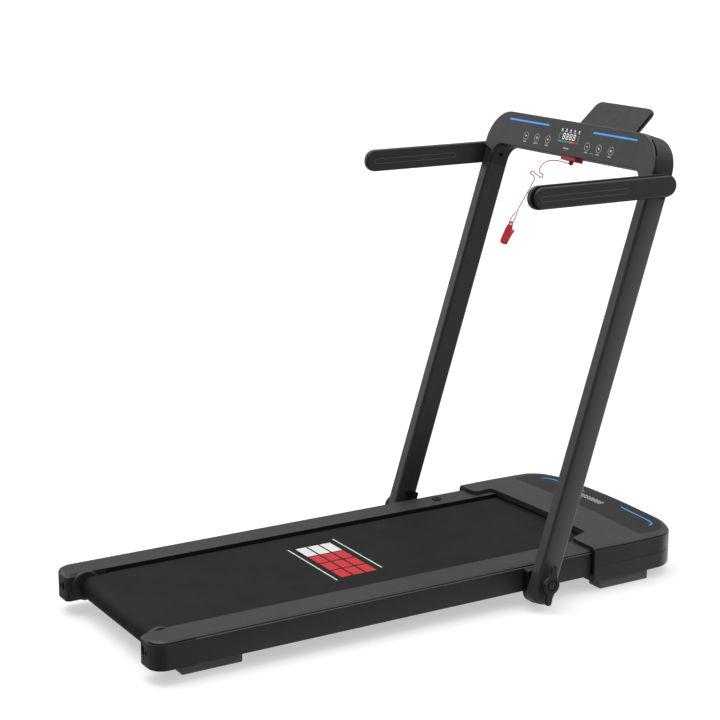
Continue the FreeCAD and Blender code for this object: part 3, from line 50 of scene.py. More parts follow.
# ---- where painted shade and painted highlights change a surface's colour, in row-frame metres ----
RAIL_INNER_WALL = 0.2004
RAIL_STEP_X = 0.2712           # sloping step under the groove along a rail's shoulder
RAIL_STEP_LOW = 0.0917
RAIL_STEP_HIGH = 0.0936
RAIL_SIDE_X = 0.2748
RAIL_FADE_TOP = 0.0857         # the rail's side grows lighter below this height
RAIL_FADE_PER_METRE = 17.5
CAP_FRONT = 0.6115             # where the rear caps meet the rails, measured towards the rear
CAP_FADE_PER_METRE = 6.0
# the rear faces behind these two limits are darkened with painted shade
CAP_REAR_FACE = -0.7088
HOOD_REAR_FACE = 0.4232
# the uprights' outer faces and the handle ribs beyond these limits get a painted highlight
UPRIGHT_OUTER_FACE = 0.3290
UPRIGHT_HALF_DEPTH = 0.0285
HANDLE_INNER_RIB = 0.33435
HANDLE_OUTER_RIB = 0.35712
BELT_LOZENGE = 0.0022


def at(x, y, z):
    """Row-frame point in metres from the drawing's millimetres."""
    return Vector((x, y - HALF_LENGTH, z)) / 1000.0


def arch(x, d, w):
    """Row-frame point from arch coordinates: across, forward of and up the lean."""
    y = PIVOT_Y + math.cos(LEAN) * d + math.sin(LEAN) * w
    z = PIVOT_Z - math.sin(LEAN) * d + math.cos(LEAN) * w
    return at(x, y, z)


def on_face(u, v, height):
    return arch(u, FACE_D - height, v)


def on_belt(u, v, height):
    return at(u, v, BELT_TOP + height)


def on_hood(u, v, height):
    return at(u, v, HOOD_TOP + height)


# ---- camera ----
CAMERA_AZIMUTH = math.radians(59.25)
CAMERA_ELEVATION = math.radians(13.87)
CAMERA_DISTANCE = 4.34116
CAMERA_TARGET = Vector((0.00054, -0.05007, 0.56456))
CAMERA_LENS = 94.32


def make_camera():
    back = Vector((
        math.sin(CAMERA_AZIMUTH) * math.cos(CAMERA_ELEVATION),
        -math.cos(CAMERA_AZIMUTH) * math.cos(CAMERA_ELEVATION),
        math.sin(CAMERA_ELEVATION),
    ))
    data = bpy.data.cameras.new("camera")
    data.lens = CAMERA_LENS
    data.sensor_width = 36.0
    data.clip_end = 50.0
    camera = bpy.data.objects.new("camera", data)
    camera.location = CAMERA_TARGET + back * CAMERA_DISTANCE
    camera.rotation_euler = back.to_track_quat("Z", "Y").to_euler()
    bpy.context.scene.collection.objects.link(camera)
    bpy.context.scene.camera = camera


# ---- materials ----
class Shader:
    """A node material that is built up step by step on object coordinates."""

    def __init__(self, name, color, rough, metallic=0.0, specular=0.5):
        self.material = bpy.data.materials.new(name)
        self.material.use_nodes = True
        self.tree = self.material.node_tree
        self.bsdf = self.tree.nodes["Principled BSDF"]
        self.bsdf.inputs["Base Color"].default_value = (*color, 1.0)
        self.bsdf.inputs["Roughness"].default_value = rough
        self.bsdf.inputs["Metallic"].default_value = metallic
        self.bsdf.inputs["Specular IOR Level"].default_value = specular
        self.coords = self.node("ShaderNodeTexCoord").outputs["Object"]
        self.color = color
        self.rough = rough
        self.bump = None

    def node(self, kind, **settings):
        made = self.tree.nodes.new(kind)
        for key, value in settings.items():
            setattr(made, key, value)
        return made

    def link(self, a, b):
        self.tree.links.new(a, b)

    def stretched(self, scale):
        mapping = self.node("ShaderNodeMapping")
        mapping.inputs["Scale"].default_value = scale
        self.link(self.coords, mapping.inputs["Vector"])
        return mapping.outputs["Vector"]

    def noise(self, scale, detail=3.0, stretch=(1, 1, 1), rough=0.55):
        made = self.node("ShaderNodeTexNoise")
        made.inputs["Scale"].default_value = scale
        made.inputs["Detail"].default_value = detail
        made.inputs["Roughness"].default_value = rough
        self.link(self.stretched(stretch), made.inputs["Vector"])
        return made.outputs["Fac"]

    def math(self, operation, a, b=None):
        made = self.node("ShaderNodeMath", operation=operation)
        for socket, value in zip(made.inputs, (a, b)):
            if value is None:
                continue
            if isinstance(value, (int, float)):
                socket.default_value = value
            else:
                self.link(value, socket)
        return made.outputs[0]

    def spread(self, fac, low, high, start=0.3, end=0.7):
        made = self.node("ShaderNodeMapRange")
        made.inputs["From Min"].default_value = start
        made.inputs["From Max"].default_value = end
        made.inputs["To Min"].default_value = low
        made.inputs["To Max"].default_value = high
        self.link(fac, made.inputs["Value"])
        return made.outputs["Result"]

    def mottle(self, scale, amount, detail=4.0, stretch=(1, 1, 1)):
        """Slight cloudy change of tone over the surface."""
        mix = self.node("ShaderNodeMix", data_type="RGBA")
        low = [c * (1 - amount) for c in self.color]
        high = [c * (1 + amount) for c in self.color]
        mix.inputs["A"].default_value = (*low, 1.0)
        mix.inputs["B"].default_value = (*high, 1.0)
        fac = self.spread(self.noise(scale, detail, stretch), 0.0, 1.0)
        self.link(fac, mix.inputs["Factor"])
        self.link(mix.outputs["Result"], self.bsdf.inputs["Base Color"])
        self.base = mix.outputs["Result"]
        return self

    def tint(self, fac, color):
        """Blend the base colour towards another where fac is 1."""
        mix = self.node("ShaderNodeMix", data_type="RGBA")
        self.link(fac, mix.inputs["Factor"])
        self.link(self.base, mix.inputs["A"])
        mix.inputs["B"].default_value = (*color, 1.0)
        self.link(mix.outputs["Result"], self.bsdf.inputs["Base Color"])
        self.base = mix.outputs["Result"]
        return self

    def vary_roughness(self, scale, amount, stretch=(1, 1, 1)):
        fac = self.noise(scale, 3.0, stretch)
        low = max(0.02, self.rough - amount)
        high = min(1.0, self.rough + amount)
        self.link(self.spread(fac, low, high), self.bsdf.inputs["Roughness"])
        return self

    def relief(self, height, strength, distance):
        made = self.node("ShaderNodeBump")
        made.inputs["Strength"].default_value = strength
        made.inputs["Distance"].default_value = distance
        self.link(height, made.inputs["Height"])
        if self.bump is not None:
            self.link(self.bump, made.inputs["Normal"])
        self.link(made.outputs["Normal"], self.bsdf.inputs["Normal"])
        self.bump = made.outputs["Normal"]
        return self

    def grain(self, scale, strength, distance=0.0001, stretch=(1, 1, 1)):
        return self.relief(self.noise(scale, 2.0, stretch, 0.6), strength, distance)

    def pebbles(self, scale, strength, distance=0.0001):
        """Fine spark-eroded texture of moulded plastic."""
        cells = self.node("ShaderNodeTexVoronoi", feature="SMOOTH_F1")
        cells.inputs["Scale"].default_value = scale
        self.link(self.coords, cells.inputs["Vector"])
        return self.relief(cells.outputs["Distance"], strength, distance)

    def axis(self, name):
        split = self.node("ShaderNodeSeparateXYZ")
        self.link(self.coords, split.inputs["Vector"])
        return split.outputs[name]

    def off_centre(self):
        """Distance from the centre plane, the same on both sides."""
        return self.math("ABSOLUTE", self.axis("X"))

    def tint_behind(self, y, color):
        """Colour the faces that stand further back than y."""
        return self.tint(self.math("LESS_THAN", self.axis("Y"), y), color)

    def tint_beyond(self, x, color):
        return self.tint(self.math("GREATER_THAN", self.off_centre(), x), color)

    def tint_within(self, x, color):
        return self.tint(self.math("LESS_THAN", self.off_centre(), x), color)

    def tint_line(self, x, low, high, color):
        """Band between two heights on the faces beyond x."""
        outside = self.math("GREATER_THAN", self.off_centre(), x)
        above = self.math("GREATER_THAN", self.axis("Z"), low)
        below = self.math("LESS_THAN", self.axis("Z"), high)
        between = self.math("MULTIPLY", above, below)
        return self.tint(self.math("MULTIPLY", outside, between), color)


def moulded(name, color, rough=0.5, texture=2600.0, strength=0.22, specular=0.5):
    made = Shader(name, color, rough, specular=specular)
    made.mottle(9.0, 0.07).vary_roughness(60.0, 0.05)
    return made.pebbles(texture, strength, 0.00008).grain(420.0, 0.05, 0.0002)


def powder_coat(name, color, rough=0.42):
    made = Shader(name, color, rough)
    made.mottle(6.0, 0.06).vary_roughness(35.0, 0.05)
    return made.grain(1500.0, 0.16, 0.00012).grain(240.0, 0.04, 0.0003)


def turned_metal(name, color, rough=0.32, stretch=(1, 60, 60)):
    made = Shader(name, color, rough, metallic=1.0)
    made.mottle(30.0, 0.10, stretch=stretch).vary_roughness(50.0, 0.08, stretch)
    return made.grain(300.0, 0.08, 0.00005, stretch)


def upright_paint():
    """Satin paint, with a painted highlight graded softly across the uprights' outer faces."""
    made = powder_coat("upright_paint", (0.050, 0.050, 0.052), 0.38)
    pivot_y = (PIVOT_Y - HALF_LENGTH) / 1000
    pivot_z = PIVOT_Z / 1000
    y = made.math("MULTIPLY", made.math("SUBTRACT", made.axis("Y"), pivot_y), math.cos(LEAN))
    z = made.math("MULTIPLY", made.math("SUBTRACT", made.axis("Z"), pivot_z), math.sin(LEAN))
    depth = made.math("SUBTRACT", y, z)
    across = made.spread(depth, 0.05, 1.0, -UPRIGHT_HALF_DEPTH, UPRIGHT_HALF_DEPTH)
    outer = made.math("GREATER_THAN", made.off_centre(), UPRIGHT_OUTER_FACE)
    # Painted highlight: the outer faces lighten across their depth.
    return made.tint(made.math("MULTIPLY", across, outer), (0.185, 0.185, 0.190))


def belt_rubber():
    """Walking belt: small lozenge relief under a dusty, slightly worn surface."""
    made = Shader("walking_belt_rubber", (0.0070, 0.0070, 0.0076), 0.62, specular=0.20)
    made.mottle(5.0, 0.10, 5.0)
    x = made.axis("X")
    y = made.axis("Y")
    pitch = math.pi / BELT_LOZENGE
    a = made.math("SINE", made.math("MULTIPLY", made.math("ADD", x, y), pitch))
    b = made.math("SINE", made.math("MULTIPLY", made.math("SUBTRACT", x, y), pitch))
    lozenge = made.math("MULTIPLY", a, b)
    made.relief(lozenge, 0.35, 0.00018)
    worn = made.spread(made.noise(7.0, 4.0, (1.0, 0.25, 1.0)), 0.0, 0.22, 0.5, 0.8)
    made.tint(worn, (0.011, 0.011, 0.012))
    return made.vary_roughness(14.0, 0.06).grain(1800.0, 0.12, 0.0001)


def light_strip():
    """Diffusing strip with a blue light behind it."""
    made = Shader("light_strip_lens", (0.03, 0.13, 0.45), 0.35)
    made.mottle(120.0, 0.05).vary_roughness(200.0, 0.05)
    made.bsdf.inputs["Emission Color"].default_value = (0.055, 0.40, 1.0, 1.0)
    strength = made.spread(made.noise(40.0, 2.0), 0.66, 0.76)
    made.link(strength, made.bsdf.inputs["Emission Strength"])
    return made.grain(900.0, 0.05, 0.00005)


def lit_print(name, color, glow):
    """Back-lit mark on the console."""
    made = Shader(name, color, 0.4)
    made.mottle(300.0, 0.06)
    made.bsdf.inputs["Emission Color"].default_value = (*color, 1.0)
    strength = made.spread(made.noise(200.0), glow * 0.9, glow)
    made.link(strength, made.bsdf.inputs["Emission Strength"])
    return made.grain(1500.0, 0.03, 0.00003)


def ink(name, color, rough=0.55):
    """Screen-printed ink, slightly broken up by the surface below it."""
    made = Shader(name, color, rough)
    made.mottle(160.0, 0.05).vary_roughness(300.0, 0.08)
    return made.grain(1400.0, 0.12, 0.00006)


def braided_cord(name, color):
    made = Shader(name, color, 0.7, specular=0.3)
    made.mottle(400.0, 0.12)
    wave = made.node("ShaderNodeTexWave", wave_type="BANDS", bands_direction="DIAGONAL")
    wave.inputs["Scale"].default_value = 260.0
    wave.inputs["Distortion"].default_value = 1.5
    made.link(made.coords, wave.inputs["Vector"])
    return made.relief(wave.outputs["Fac"], 0.5, 0.0002).grain(3000.0, 0.2, 0.0001)


def board_wood():
    made = Shader("deck_laminate", (0.02, 0.019, 0.018), 0.55)
    made.mottle(40.0, 0.2, stretch=(8, 1, 8))
    return made.grain(200.0, 0.15, 0.0002, (8, 1, 8))


def circuit_board():
    made = Shader("circuit_board", (0.01, 0.06, 0.03), 0.4)
    made.mottle(60.0, 0.2)
    return made.grain(500.0, 0.2, 0.0002)


def rail_plastic(name):
    """Rail cover with painted shade on the inner wall, a painted highlight along the step and
    painted light that makes the side lighter downwards.
    """
    made = moulded(name, (0.033, 0.033, 0.035), 0.48)
    # Painted shade: the inner wall facing the belt is made almost black.
    made.tint_within(RAIL_INNER_WALL, (0.003, 0.003, 0.003))
    # Painted highlight: a light band along the sloping step under the groove.
    made.tint_line(RAIL_STEP_X, RAIL_STEP_LOW, RAIL_STEP_HIGH, (0.14, 0.14, 0.145))
    # Painted light: the outer side grows lighter below RAIL_FADE_TOP, fading in forward of the
    # rear caps.
    depth = made.math("SUBTRACT", RAIL_FADE_TOP, made.axis("Z"))
    low = made.math("MULTIPLY", depth, RAIL_FADE_PER_METRE)
    side = made.math("GREATER_THAN", made.off_centre(), RAIL_SIDE_X)
    past_cap = made.math("ADD", made.axis("Y"), CAP_FRONT)
    along = made.math("MINIMUM", made.math("MULTIPLY", past_cap, CAP_FADE_PER_METRE), 1.0)
    fade = made.math("MULTIPLY", side, made.math("MAXIMUM", low, 0.0))
    return made.tint(made.math("MULTIPLY", fade, along), (0.062, 0.062, 0.064))


def handle_panel(name):
    """Handle cover whose raised rib carries a painted highlight, lighter than the rest."""
    made = Shader(name, (0.050, 0.050, 0.052), 0.40)
    made.mottle(9.0, 0.06).vary_roughness(50.0, 0.04)
    # Painted highlight on the rib beyond HANDLE_OUTER_RIB.
    made.tint_beyond(HANDLE_OUTER_RIB, (0.17, 0.17, 0.175))
    return made.pebbles(2600.0, 0.15, 0.00006)


def knob_plastic():
    made = Shader("knob_plastic", (0.028, 0.028, 0.030), 0.45)
    made.mottle(20.0, 0.08).vary_roughness(60.0, 0.05)
    return made.pebbles(2600.0, 0.2, 0.00008)


def make_materials():
    black = (0.010, 0.010, 0.011)
    shade = (0.006, 0.006, 0.006)
    red = (0.78, 0.016, 0.028)
    cap = moulded("rear_cap_plastic", (0.031, 0.031, 0.033), 0.44)
    hood = moulded("hood_plastic", (0.039, 0.039, 0.041), 0.47)
    tray = moulded("tray_plastic", (0.048, 0.048, 0.050), 0.46)
    handle = moulded("handle_shell_plastic", (0.046, 0.046, 0.048), 0.40)
    return {
        "rail": rail_plastic("rail_plastic"),
        # Painted shade: the caps' rear faces are darkened behind CAP_REAR_FACE.
        "cap": cap.tint_behind(CAP_REAR_FACE, (0.012, 0.012, 0.013)),
        "frame": powder_coat("frame_paint", black, 0.45),
        "belt": belt_rubber(),
        "wood": board_wood(),
        "rubber": moulded("moulded_rubber", (0.012, 0.012, 0.012), 0.75, 1800.0, 0.3),
        # Partly painted light: the feet's dark rubber grey is raised to stand in for light bounced
        # up from the floor.
        "foot": moulded("foot_rubber", (0.17, 0.17, 0.172), 0.60, 1500.0, 0.35),
        "steel": turned_metal("bright_steel", (0.55, 0.55, 0.56)),
        "roller": turned_metal("roller_steel", (0.42, 0.42, 0.43), 0.28),
        "bearing": turned_metal("bearing_steel", (0.60, 0.60, 0.62), 0.22),
        # Painted shade: the hood's and tray's rear faces are darkened behind HOOD_REAR_FACE.
        "hood": hood.tint_behind(HOOD_REAR_FACE, shade),
        "tray": tray.tint_behind(HOOD_REAR_FACE, shade),
        "panel": moulded("hood_panel_plastic", (0.014, 0.014, 0.015), 0.46, 3200.0, 0.08, 0.32),
        "strip": light_strip(),
        "alloy": turned_metal("motor_alloy", (0.35, 0.35, 0.36), 0.5, (1, 8, 8)),
        "iron": turned_metal("rotor_iron", (0.20, 0.19, 0.18), 0.55, (80, 1, 1)),
        "pulley": powder_coat("pulley_paint", (0.05, 0.05, 0.05), 0.4),
        "circuit": circuit_board(),
        "socket": moulded("socket_plastic", black, 0.4),
        "switch": moulded("switch_plastic", (0.012, 0.012, 0.012), 0.25, 3000.0, 0.05),
        "upright": upright_paint(),
        "bush": moulded("bush_nylon", (0.014, 0.014, 0.014), 0.4),
        "bracket": powder_coat("bracket_paint", (0.005, 0.005, 0.006), 0.45),
        "bolt": powder_coat("black_oxide", (0.012, 0.012, 0.012), 0.35),
        "knob": knob_plastic(),
        "console": moulded("console_plastic", (0.030, 0.030, 0.032), 0.45),
        "face": moulded("console_face_plastic", (0.092, 0.092, 0.095), 0.58, 3600.0, 0.10),
        # Painted highlight: the handle's inner shell is lightened within HANDLE_INNER_RIB.
        "handle": handle.tint_within(HANDLE_INNER_RIB, (0.16, 0.16, 0.165)),
        "handle_panel": handle_panel("handle_cover_plastic"),
        "handle_steel": powder_coat("handle_bar_paint", (0.003, 0.003, 0.003), 0.5),
        "tablet": moulded("tablet_plate_plastic", (0.027, 0.027, 0.029), 0.50),
        "hinge": moulded("tablet_bracket_plastic", (0.025, 0.025, 0.026), 0.45),
        "key": moulded("key_plastic", red, 0.30, 2400.0, 0.05),
        "cord": braided_cord("cord_braid", (0.85, 0.035, 0.05)),
        "clip": moulded("clip_plastic", red, 0.33, 2400.0, 0.06),
        "wheel": moulded("wheel_plastic", (0.015, 0.015, 0.015), 0.55),
        "spigot": turned_metal("zinc_plate", (0.42, 0.42, 0.44), 0.35, (1, 1, 40)),
        "white": ink("white_ink", (0.80, 0.80, 0.80)),
        "red": ink("red_ink", (0.62, 0.012, 0.020)),
        "grey_ink": ink("grey_ink", (0.72, 0.72, 0.72)),
        "lit_white": lit_print("lit_white", (0.85, 0.85, 0.85), 0.55),
        "lit_green": lit_print("lit_green", (0.05, 0.42, 0.12), 0.30),
        "lit_blue": lit_print("lit_blue", (0.07, 0.36, 0.60), 0.30),
        "lit_orange": lit_print("lit_orange", (0.75, 0.20, 0.06), 0.30),
        "lit_red": lit_print("lit_red", (0.70, 0.03, 0.03), 0.30),
    }


NODE_MATERIALS = {
    "rail": ["left_rail_cover", "right_rail_cover"],
    "cap": ["left_rear_cap", "right_rear_cap"],
    "frame": ["left_frame_tube", "right_frame_tube", "cross_members"],
    "belt": ["walking_belt"],
    "wood": ["deck_board"],
    "rubber": ["deck_cushions", "rail_bumpers", "drive_belt"],
    "foot": ["front_feet", "rear_feet"],
    "steel": ["axles"],
    "roller": ["front_roller", "rear_roller"],
    "bearing": ["front_roller_bearings", "rear_roller_bearings"],
    "hood": ["hood_cover"],
    "tray": ["hood_tray"],
    "panel": ["hood_display_panel"],
    "strip": ["hood_light_strips", "console_light_strips"],
    "alloy": ["motor_housing"],
    "iron": ["motor_rotor"],
    "pulley": ["roller_pulley"],
    "circuit": ["motor_controller", "console_board"],
    "socket": ["power_inlet", "key_sensor"],
    "switch": ["power_switch", "breaker_button"],
    "upright": ["left_upright", "right_upright"],
    "bush": ["pivot_bushes"],
    "bracket": ["pivot_brackets"],
    "bolt": ["pivot_bolts", "tension_bolts", "handle_bolts"],
    "knob": ["left_knob", "right_knob"],
    "console": ["console_housing"],
    "face": ["console_face"],
    "handle": ["left_handle_inner", "right_handle_inner"],
    "handle_panel": ["left_handle_outer", "right_handle_outer"],
    "handle_steel": ["left_handle_bar", "right_handle_bar"],
    "tablet": ["tablet_front_panel", "tablet_back_shell"],
    "hinge": ["tablet_bracket"],
    "key": ["safety_key"],
    "clip": ["clip_front_jaw", "clip_back_jaw"],
    "wheel": ["left_transport_wheel", "right_transport_wheel"],
    "spigot": ["leg_spigots"],
}


def dress_nodes(materials):
    for key, names in NODE_MATERIALS.items():
        for name in names:
            mesh = NODES[name].data
            mesh.materials.clear()
            mesh.materials.append(materials[key].material)


# ---- printed and inlaid marks ----
def new_piece(name, mesh_builder, material, body):
    mesh = bpy.data.meshes.new(name)
    bm = bmesh.new()
    mesh_builder(bm)
    bmesh.ops.remove_doubles(bm, verts=bm.verts, dist=1e-7)
    bmesh.ops.recalc_face_normals(bm, faces=bm.faces)
    bm.to_mesh(mesh)
    bm.free()
    mesh.materials.append(material.material)
    made = bpy.data.objects.new(name, mesh)
    bpy.context.scene.collection.objects.link(made)
    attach(made, body)
    return made


def slab(bm, outline, place, low, high):
    """Solid between two heights above a surface, on a flat outline."""
    bottom = [bm.verts.new(place(u, v, low)) for u, v in outline]
    top = [bm.verts.new(place(u, v, high)) for u, v in outline]
    bm.faces.new(bottom)
    bm.faces.new(top)
    count = len(outline)
    for i in range(count):
        j = (i + 1) % count
        bm.faces.new((bottom[i], bottom[j], top[j], top[i]))


def annulus(bm, u0, v0, outer, inner, place, low, high, count=40):
    """Flat ring between two heights above a surface."""
    rings = []
    for radius, height in ((outer, low), (outer, high), (inner, high), (inner, low)):
        ring = []
        for i in range(count):
            angle = 2 * math.pi * i / count
            u = u0 + radius * math.cos(angle)
            v = v0 + radius * math.sin(angle)
            ring.append(bm.verts.new(place(u, v, height)))
        rings.append(ring)
    for a, b in zip(rings, rings[1:] + rings[:1]):
        for i in range(count):
            j = (i + 1) % count
            bm.faces.new((a[i], a[j], b[j], b[i]))


def rect(u0, v0, u1, v1):
    return [(u0, v0), (u1, v0), (u1, v1), (u0, v1)]


def disc(u0, v0, radius, count=20):
    angles = [2 * math.pi * i / count for i in range(count)]
    return [(u0 + radius * math.cos(a), v0 + radius * math.sin(a)) for a in angles]


def pill(u0, v0, u1, v1, count=8):
    """Rounded bar along u."""
    radius = (v1 - v0) / 2
    middle = (v0 + v1) / 2
    points = []
    for i in range(count + 1):
        angle = -math.pi / 2 + math.pi * i / count
        points.append((u1 - radius + radius * math.cos(angle), middle + radius * math.sin(angle)))
    for i in range(count + 1):
        angle = math.pi / 2 + math.pi * i / count
        points.append((u0 + radius + radius * math.cos(angle), middle + radius * math.sin(angle)))
    return points


DIGIT_SLANT = 0.08
DIGIT_STROKE = 0.22            # share of the width


def eight(u, v, width, height):
    """Outlines of a fully lit seven-segment digit whose lower left corner is at (u, v)."""
    t = width * DIGIT_STROKE
    trim = t * 0.4
    half = height / 2

    def bar(low):
        return rect(0.14 * width, low, 0.86 * width, low + t)

    def post(x0, low, high):
        return rect(x0, low + trim, x0 + t, high - trim)

    right = width - t
    outlines = [
        bar(height - t), post(right, half, height), post(right, 0, half), bar(0),
        post(0, 0, half), post(0, half, height), bar(half - t / 2),
    ]
    return [[(u + x + DIGIT_SLANT * y, v + y) for x, y in outline] for outline in outlines]


def marks(name, shapes, place, material, body, low=0.02, high=0.12):
    def build(bm):
        for outline in shapes:
            slab(bm, outline, place, low, high)
    return new_piece(name, build, material, body)


def belt_marks(materials):
    """Plain tiles printed between two lines across the belt."""
    white = [pill(-114, 526.3, 121, 529.7), pill(-128, 657.3, 101, 660.7)]
    red = []
    for v in (546, 579, 612):
        white.append(rect(-110, v, -50, v + 28))
        for u in (-45, 8, 61):
            red.append(rect(u, v, u + 48, v + 28))
    marks("belt_print_white", white, on_belt, materials["white"], "deck")
    marks("belt_print_red", red, on_belt, materials["red"], "deck")


def icon_symbol(kind, u, v):
    if kind == "start":
        return [[(u - 1.8, v - 2.6), (u + 2.8, v), (u - 1.8, v + 2.6)]]
    if kind == "stop":
        return [rect(u - 2.2, v - 2.2, u + 2.2, v + 2.2)]
    if kind == "plus":
        return [
            rect(u - 2.8, v - 0.6, u + 2.8, v + 0.6),
            rect(u - 0.6, v + 0.65, u + 0.6, v + 2.8),
            rect(u - 0.6, v - 2.8, u + 0.6, v - 0.65),
        ]
    if kind == "minus":
        return [rect(u - 2.8, v - 0.6, u + 2.8, v + 0.6)]
    if kind == "mode":
        return [rect(u - 2.6, v + low, u + 2.6, v + low + 1.0) for low in (1.3, -0.5, -2.3)]
    return [disc(u, v, 2.2)]


ICONS = (
    (-168, "start"), (-123, "mode"), (-78, "dot"), (78, "minus"), (123, "plus"), (168, "stop"),
)
ICON_LEVEL = 997.0
LABEL_WIDTHS = (14, 18, 14, 13, 13, 13)
DISPLAY_BAR = (998.2, 1001.4)


def display_bar(u0, u1):
    return pill(u0, DISPLAY_BAR[0], u1, DISPLAY_BAR[1])


def console_marks(materials):
    def rings(bm):
        for u, _ in ICONS:
            annulus(bm, u, ICON_LEVEL, 10.0, 8.7, on_face, 0.02, 0.1)

    def face_marks(name, shapes, key):
        marks(name, shapes, on_face, materials[key], "arch")

    new_piece("console_key_rings", rings, materials["grey_ink"], "arch")
    symbols = []
    labels = []
    for (u, kind), width in zip(ICONS, LABEL_WIDTHS):
        symbols += icon_symbol(kind, u, ICON_LEVEL)
        labels.append(pill(u - width / 2, 981.6, u + width / 2, 984.2))
    labels.append(pill(93, 982.4, 108, 983.4))
    face_marks("console_key_symbols", symbols, "lit_white")
    face_marks("console_key_labels", labels, "grey_ink")

    top = []
    for i in range(5):
        u = -31 + 16.5 * i
        top += [disc(u, 1028.5, 2.3), rect(u - 4.2, 1023.2, u + 4.2, 1024.4)]
    digits = []
    for i in range(4):
        digits += eight(-24.5 + 13.4 * i, 1005.0, 9.0, 15.0)
    green = []
    for u in (-36.5, 37.5):
        green.append(rect(u - 2.4, 1015.5, u + 2.4, 1018.2))
        green.append(disc(u, 1011.5, 2.2))
        green.append(rect(u - 2.4, 1005, u + 2.4, 1007.6))
    green.append(display_bar(-17.5, 3.0))
    face_marks("display_symbols", top, "lit_white")
    face_marks("display_digits", digits, "lit_white")
    face_marks("display_green", green, "lit_green")
    face_marks("display_blue", [display_bar(-38, -18.5)], "lit_blue")
    face_marks("display_orange", [display_bar(4.0, 22.0)], "lit_orange")
    face_marks("display_red", [display_bar(23.0, 42.0)], "lit_red")
    face_marks("console_badge_white", [pill(-11.0, 982.5, 11.0, 985.5)], "white")
    face_marks("console_badge_red", [pill(-7.0, 977.0, 7.0, 980.0)], "red")


def hood_marks(materials):
    """Row of plain digits printed on the hood's panel."""
    digits = []
    for i in range(7):
        digits += eight(-64 + 13.6 * i, 1347, 8.2, 17.0)
    marks("hood_digits", digits, on_hood, materials["white"], "deck")


# ---- safety cord ----
CORD_DIAMETER = 0.0024
CORD_ROUTE = [
    (11.0, 1238.3, 977.8), (10.8, 1224.0, 982.5), (10.4, 1208.0, 987.2), (9.8, 1190.5, 990.0),
    (9.2, 1174.0, 989.6), (8.7, 1162.0, 985.2), (8.3, 1154.0, 976.8), (8.0, 1149.2, 968.4),
    (7.8, 1153.8, 961.6), (7.6, 1162.2, 956.4), (7.5, 1162.1, 951.6), (7.4, 1157.2, 950.4),
    (7.3, 1149.0, 955.4), (7.2, 1138.6, 962.6), (7.1, 1130.0, 969.2), (7.0, 1125.4, 965.6),
    (7.0, 1127.8, 960.7), (7.0, 1136.6, 955.4), (7.0, 1138.4, 948.6), (7.0, 1134.0, 942.0),
    (7.0, 1127.4, 930.8), (7.0, 1117.0, 916.6), (7.0, 1106.2, 901.2), (7.0, 1096.6, 886.8),
    (7.0, 1090.0, 877.4), (7.0, 1087.0, 867.2), (7.0, 1083.0, 857.0), (7.0, 1077.0, 848.5),
    (7.0, 1069.5, 847.5), (7.0, 1067.6, 855.4), (7.0, 1076.0, 864.8), (7.0, 1084.2, 873.0),
]


def make_cord(materials):
    curve = bpy.data.curves.new("safety_cord_line", "CURVE")
    curve.dimensions = "3D"
    curve.resolution_u = 12
    curve.bevel_depth = CORD_DIAMETER / 2
    curve.bevel_resolution = 4
    curve.use_fill_caps = True
    spline = curve.splines.new("NURBS")
    spline.points.add(len(CORD_ROUTE) - 1)
    for point, place in zip(spline.points, CORD_ROUTE):
        point.co = (*at(*place), 1.0)
    spline.order_u = 3
    spline.use_endpoint_u = True
    curve.materials.append(materials["cord"].material)
    made = bpy.data.objects.new("safety_cord_line", curve)
    bpy.context.scene.collection.objects.link(made)
    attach(made, "safety_key")
    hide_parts("safety_cord")
    return made


# ---- stage ----
def make_stage():
    mesh = bpy.data.meshes.new("floor")
    half = 60.0
    corners = [(u, v, 0) for u, v in rect(-half, -half, half, half)]
    mesh.from_pydata(corners, [], [(0, 1, 2, 3)])
    floor = bpy.data.objects.new("floor", mesh)
    bpy.context.scene.collection.objects.link(floor)
    paper = Shader("floor_paper", (0.66, 0.66, 0.66), 0.9, specular=0.1)
    paper.mottle(0.8, 0.004)
    paper.bsdf.inputs["Emission Color"].default_value = (1.0, 1.0, 1.0, 1.0)
    paper.bsdf.inputs["Emission Strength"].default_value = 0.50
    mesh.materials.append(paper.material)
    floor.visible_diffuse = False
    floor.visible_glossy = False


def soft_box(name, place, target, width, height, power):
    """Rectangular light that shows only in reflections."""
    data = bpy.data.lights.new(name, "AREA")
    data.shape = "RECTANGLE"
    data.size = width
    data.size_y = height
    data.energy = power
    made = bpy.data.objects.new(name, data)
    made.location = place
    toward = (Vector(place) - Vector(target)).normalized()
    made.rotation_euler = toward.to_track_quat("Z", "Y").to_euler()
    made.visible_diffuse = False
    bpy.context.scene.collection.objects.link(made)


# Strength of the surroundings by height: -1 is straight below, 1 is straight above.
WORLD_STEPS = ((-0.10, 0.42), (-0.01, 0.20), (0.10, 0.15), (0.34, 0.16), (0.62, 0.90))
DARK_SIDE = (0.834, -0.494, -0.24)     # the studio's unlit side
BRIGHT_SIDE = (-0.10, 0.97, -0.18)     # the wall ahead of the walker


def world_math(tree, operation, a, b):
    made = tree.nodes.new("ShaderNodeMath")
    made.operation = operation
    tree.links.new(a, made.inputs[0])
    tree.links.new(b, made.inputs[1])
    return made.outputs["Value"]


def world_patch(tree, coords, direction, start, end, outside, inside):
    """Strength that changes smoothly towards one direction of the surroundings."""
    dot = tree.nodes.new("ShaderNodeVectorMath")
    dot.operation = "DOT_PRODUCT"
    tree.links.new(coords.outputs["Generated"], dot.inputs[0])
    dot.inputs[1].default_value = direction
    blend = tree.nodes.new("ShaderNodeMapRange")
    blend.interpolation_type = "SMOOTHSTEP"
    blend.inputs["From Min"].default_value = start
    blend.inputs["From Max"].default_value = end
    blend.inputs["To Min"].default_value = outside
    blend.inputs["To Max"].default_value = inside
    tree.links.new(dot.outputs["Value"], blend.inputs["Value"])
    return blend.outputs["Result"]


